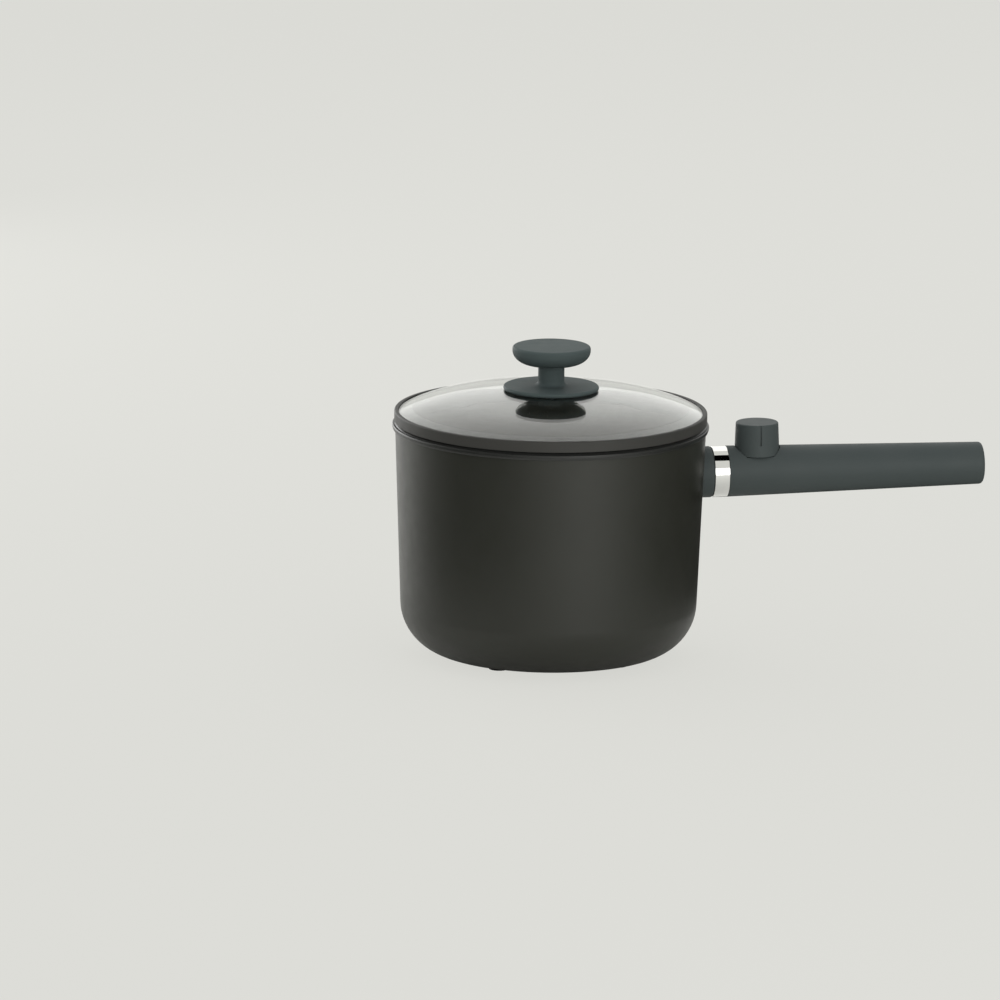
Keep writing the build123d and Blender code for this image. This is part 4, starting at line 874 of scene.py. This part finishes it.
# %% Switch knob
KNOB_BASE = 9.25
KNOB_HEIGHT = 17.3
KNOB_BASE_RADIUS = 12.1
KNOB_TOP_RADIUS = 11.45
KNOB_WALL = 1.6
KNOB_ROOF = 2.0
KNOB_ROUND = 0.8
HUB_RADIUS = 5.0
HUB_START = 3.6
SHAFT_HOLE = 2.52
KNOB_TOP = KNOB_BASE + KNOB_HEIGHT
ROOF = KNOB_TOP - KNOB_ROOF
dial = turned("switch_knob", rounded([
    (POLE, KNOB_TOP),
    (KNOB_TOP_RADIUS, KNOB_TOP, KNOB_ROUND),
    (KNOB_BASE_RADIUS, KNOB_BASE, 0.2),
    (KNOB_BASE_RADIUS - KNOB_WALL, KNOB_BASE, 0.2),
    (KNOB_TOP_RADIUS - KNOB_WALL, ROOF),
    (HUB_RADIUS, ROOF),
    (HUB_RADIUS, KNOB_BASE + HUB_START),
    (SHAFT_HOLE, KNOB_BASE + HUB_START),
    (SHAFT_HOLE, ROOF),
    (POLE, ROOF),
]), sides=128)

# %% Pointer line
POINTER_WIDTH = 1.0
POINTER_LENGTH = 11.0
POINTER_DEPTH = 0.5
bpy.ops.object.select_all(action="DESELECT")
bpy.ops.mesh.primitive_cube_add(size=1, location=(0, 0, 0))
line = bpy.context.object
line.name = "pointer_tool"
POINTER_FRONT, POINTER_BACK = -(KNOB_TOP_RADIUS + 3.0), -(KNOB_TOP_RADIUS - POINTER_DEPTH)
POINTER_LOW, POINTER_HIGH = KNOB_TOP - POINTER_LENGTH, KNOB_TOP + 1
put(line, Matrix.Translation((
    0, (POINTER_FRONT + POINTER_BACK) / 2 * MM, (POINTER_LOW + POINTER_HIGH) / 2 * MM,
)) @ Matrix.Diagonal((
    POINTER_WIDTH * MM, (POINTER_BACK - POINTER_FRONT) * MM, (POINTER_HIGH - POINTER_LOW) * MM, 1,
)))
carve(dial, line)
put(dial, ON_POT @ Matrix.Translation((KNOB_X * MM, 0, 0)))
finish(dial, "control_knob", "control_knob", HANDLE_PLASTIC)

# %% [markdown]
# ## Power socket
# The round socket in the handle's tail is a cup with three holes in its floor for the pins, which are brass and
# stay as they are.

# %% Power socket
INLET_BORE = 6.6
INLET_DEPTH = 14.0
INLET_BACK = 2.5
COLLAR = 0.8
COLLAR_WIDTH = 2.0
PIN_RADIUS = 1.2
PIN_PLACES = ((-2.7, -1.4), (2.7, -1.4), (0.0, 2.7))
back, floor = HANDLE_LENGTH - INLET_DEPTH - INLET_BACK, HANDLE_LENGTH - INLET_DEPTH
collar_end = HANDLE_LENGTH - TAIL_WALL
socket = laid("power_socket", rounded([
    (POLE, back),
    (INLET_RADIUS, back),
    (INLET_RADIUS, collar_end - COLLAR_WIDTH),
    (INLET_RADIUS + COLLAR, collar_end - COLLAR_WIDTH),
    (INLET_RADIUS + COLLAR, collar_end),
    (INLET_RADIUS, collar_end),
    (INLET_RADIUS, HANDLE_LENGTH, 0.3),
    (INLET_BORE, HANDLE_LENGTH, 0.4),
    (INLET_BORE, floor),
    (POLE, floor),
]))
for y, z in PIN_PLACES:
    hole = laid("hole", [
        (POLE, back - 1), (PIN_RADIUS, back - 1), (PIN_RADIUS, floor + 1), (POLE, floor + 1),
    ], 32)
    put(hole, Matrix.Translation((0, y * MM, z * MM)))
    carve(socket, hole)
put(socket, ON_POT)
finish(socket, "pot", "power_inlet", INLET_PLASTIC)

# %% [markdown]
# ## Underneath
# Four rubber feet sit in their pockets, and a round cover with three deep screw holes closes the bottom.  One
# foot is turned and copied, each copy with its own mesh.

# %% Feet
first_foot = turned("rubber_foot_1", rounded([
    (POLE, 0),
    (FOOT_RADIUS, 0, 0.8),
    (FOOT_RADIUS, FOOT_TOP, 0.2),
    (POLE, FOOT_TOP),
]), sides=64)
feet = [first_foot]
for number in range(2, len(FOOT_PLACES) + 1):
    only(first_foot)
    bpy.ops.object.duplicate(linked=False)
    bpy.context.object.name = f"rubber_foot_{number}"
    feet.append(bpy.context.object)
for foot, (x, y) in zip(feet, FOOT_PLACES):
    put(foot, Matrix.Translation((x * MM, y * MM, 0)))
    finish(foot, "pot", "feet", FOOT_RUBBER)

# %% Base cover
COVER_TOP = 5.0
SCREW_CIRCLE = 30.0
SCREW_ANGLES = (60, 180, 300)
BOSS_RADIUS = 4.8
BOSS_TOP = high("base_cover").z
COVER_FIT = 0.2
HEAD_WELL = (3.4, 6.0)       # radius and top of the well for a screw head
SCREW_HOLE = 2.1
cover = turned("bottom_cover", rounded([
    (POLE, FOOT_GAP),
    (COVER_LAP[0] - COVER_FIT, FOOT_GAP, 0.3),
    (COVER_LAP[0] - COVER_FIT, COVER_LAP[1]),
    (OPENING_RADIUS - COVER_FIT, COVER_LAP[1]),
    (OPENING_RADIUS - COVER_FIT, COVER_TOP),
    (POLE, COVER_TOP),
]))
for turn in SCREW_ANGLES:
    x = SCREW_CIRCLE * math.cos(math.radians(turn))
    y = SCREW_CIRCLE * math.sin(math.radians(turn))
    carve(cover, rod(BOSS_RADIUS, COVER_TOP - 1, BOSS_TOP, x, y), "UNION")
    carve(cover, rod(HEAD_WELL[0], 0, HEAD_WELL[1], x, y))
    carve(cover, rod(SCREW_HOLE, 0, BOSS_TOP + 1, x, y))
finish(cover, "pot", "base_cover", HOUSING_PLASTIC)

# %% [markdown]
# ## Floor and light
# A pale floor in a pale room.  A soft box as wide as a window stands behind the pot: it lights the tops, and
# the glass mirrors it together with the room.  A tall box in front on the right draws the broad highlight down
# the pot's wall, and one behind on the left draws the bright edge.  Black cards, which only reflections can
# see, keep the rest dark, as studio flags do for black and chrome: three stand round the pot, and two lie on
# the floor, which the upright wall would mirror too brightly.

# %% Floor
FLOOR_COLOUR = "#dcdcd7"
FLOOR_GLOW = 0.9             # share of the floor's own colour in what the camera sees of it
bpy.ops.object.select_all(action="DESELECT")
bpy.ops.mesh.primitive_plane_add(size=30, location=(0, 0, 0))
floor_sheet = bpy.context.object
floor_sheet.name = "studio_floor"
floor_material, tree, _ = new_material("matt_paper_floor")
paper = add(tree, "ShaderNodeBsdfPrincipled", {"Base Color": linear(FLOOR_COLOUR), "Roughness": 0.9,
                                               "Specular IOR Level": 0.1})
glow = add(tree, "ShaderNodeEmission", {"Color": linear(FLOOR_COLOUR), "Strength": 1.0})
path = add(tree, "ShaderNodeLightPath")
share = add(tree, "ShaderNodeMapRange", {"Value": path.outputs["Is Camera Ray"], "To Max": FLOOR_GLOW})
seen = add(tree, "ShaderNodeMixShader", {0: share.outputs["Result"], 1: paper.outputs["BSDF"],
                                         2: glow.outputs["Emission"]})
add(tree, "ShaderNodeOutputMaterial", {"Surface": seen.outputs["Shader"]})
floor_sheet.data.materials.append(floor_material)

# %% Room
ROOM_LIGHT = 0.9
world = bpy.data.worlds.new("pale_room")
bpy.context.scene.world = world
world.use_nodes = True
tree = world.node_tree
tree.nodes.clear()
path = add(tree, "ShaderNodeLightPath")
direct = add(tree, "ShaderNodeMath", {0: path.outputs["Is Camera Ray"], 1: path.outputs["Is Transmission Ray"]},
             operation="ADD")
seen = add(tree, "ShaderNodeMath", {0: direct.outputs["Value"], 1: path.outputs["Is Glossy Ray"]},
           operation="ADD", use_clamp=True)
shown = add(tree, "ShaderNodeBackground", {"Color": linear(FLOOR_COLOUR), "Strength": 1.0})
lit = add(tree, "ShaderNodeBackground", {"Color": (1, 1, 1, 1), "Strength": ROOM_LIGHT})
mixed = add(tree, "ShaderNodeMixShader", {0: seen.outputs["Value"], 1: lit.outputs["Background"],
                                          2: shown.outputs["Background"]})
add(tree, "ShaderNodeOutputWorld", {"Surface": mixed.outputs["Shader"]})

# %% Soft boxes
AIM = Vector((0, 0, 0.08))


def around(azimuth, elevation, distance):
    """Point seen from the pot at an angle from the front, positive to the right, and a height angle."""
    turn, rise = math.radians(azimuth), math.radians(elevation)
    flat = Vector((math.sin(turn), -math.cos(turn), 0)) * math.cos(rise)
    return AIM + (flat + Vector((0, 0, math.sin(rise)))) * distance


def soft_box(name, azimuth, elevation, distance, width, height, radiance):
    """Rectangular lamp that faces the pot; its power follows from how bright its face is."""
    data = bpy.data.lights.new(name, "AREA")
    data.shape = "RECTANGLE"
    data.size, data.size_y = width, height
    data.energy = radiance * math.pi * width * height
    lamp = bpy.data.objects.new(name, data)
    bpy.context.scene.collection.objects.link(lamp)
    lamp.location = around(azimuth, elevation, distance)
    lamp.rotation_euler = (AIM - lamp.location).to_track_quat("-Z", "Y").to_euler()
    lamp.visible_camera = False


# azimuth and elevation in degrees; distance, width and height in metres; radiance
soft_box("back_box", 180, 37, 1.5, 3.6, 1.55, 0.5)
soft_box("front_box", 18, 6, 1.5, 0.6, 1.0, 3.5)
soft_box("edge_box", -150, 5, 1.2, 0.9, 0.9, 3.0)

# %% Black cards
CARD_LIFT = 0.002            # metres above the floor, so that the two don't share a plane
black, tree, _ = new_material("black_card")
add(tree, "ShaderNodeOutputMaterial", {
    "Surface": add(tree, "ShaderNodeEmission", {"Color": (0, 0, 0, 1), "Strength": 0.0}).outputs["Emission"],
})


def standing(azimuth, elevation, distance):
    """Place of a card that faces the pot."""
    spot = around(azimuth, elevation, distance)
    return Matrix.Translation(spot) @ (AIM - spot).to_track_quat("Z", "Y").to_matrix().to_4x4()


def lying(azimuth, distance):
    """Place of a card that lies on the floor, its first side along the line that leads to the pot."""
    spot = around(azimuth, 0, distance)
    spot.z = CARD_LIFT
    return Matrix.Translation(spot) @ Matrix.Rotation(math.atan2(spot.y, spot.x), 4, "Z")


def black_card(name, place, width, height):
    """Black card that only reflections can see."""
    bpy.ops.object.select_all(action="DESELECT")
    bpy.ops.mesh.primitive_plane_add(size=1, location=(0, 0, 0))
    card = bpy.context.object
    card.name = name
    put(card, place @ Matrix.Diagonal((width, height, 1, 1)))
    card.data.materials.append(black)
    card.visible_camera = card.visible_diffuse = card.visible_transmission = card.visible_shadow = False


black_card("overhead_card", standing(0, 75, 1.0), 2.4, 0.52)
black_card("left_card", standing(-70, 22, 1.8), 3.0, 1.6)
black_card("right_card", standing(85, 22, 1.8), 2.8, 1.6)
black_card("left_floor_card", lying(-65, 0.65), 0.9, 0.6)
black_card("right_floor_card", lying(102, 0.65), 1.0, 0.7)

# %% [markdown]
# ## Camera
# The view is from a little above, slightly from the left of the handle, through a long lens.  The camera is
# worked out from how many pixels a millimetre takes and from where the pot's foot point lies in the picture.

# %% Camera
IMAGE_SIDE = 1000            # pixels
PIXELS_PER_MM = 1.861
FOOT_POINT = (547.7, 654.5)  # where the origin lies in the picture, in pixels
ELEVATION = math.radians(11.87)
AZIMUTH = math.radians(-10.0)
ROLL = math.radians(0.7)
DISTANCE = 9.0               # metres
SENSOR = 36.0                # millimetres
camera_data = bpy.data.cameras.new("camera")
camera = bpy.data.objects.new("camera", camera_data)
bpy.context.scene.collection.objects.link(camera)
back_way = Vector((
    math.sin(AZIMUTH) * math.cos(ELEVATION), -math.cos(AZIMUTH) * math.cos(ELEVATION), math.sin(ELEVATION),
))
turn = (-back_way).to_track_quat("-Z", "Y").to_matrix().to_4x4() @ Matrix.Rotation(ROLL, 4, "Z")
right, up = turn.col[0].to_3d(), turn.col[1].to_3d()
across_mm = (IMAGE_SIDE / 2 - FOOT_POINT[0]) / PIXELS_PER_MM
up_mm = (FOOT_POINT[1] - IMAGE_SIDE / 2) / PIXELS_PER_MM
middle = (right * across_mm + up * up_mm) * MM
camera.matrix_world = Matrix.Translation(middle + back_way * DISTANCE) @ turn
camera_data.sensor_width = SENSOR
camera_data.lens = SENSOR * DISTANCE / (IMAGE_SIDE / PIXELS_PER_MM * MM)
camera_data.clip_start, camera_data.clip_end = 0.1, 50.0
bpy.context.scene.camera = camera
bpy.context.scene.view_settings.view_transform = "Standard"
print(f"lens {camera_data.lens:.0f} mm at {DISTANCE} m")

# %% [markdown]
# ## The end
# The view layer is brought up to date once more.

# %% The end
bpy.context.view_layer.update()
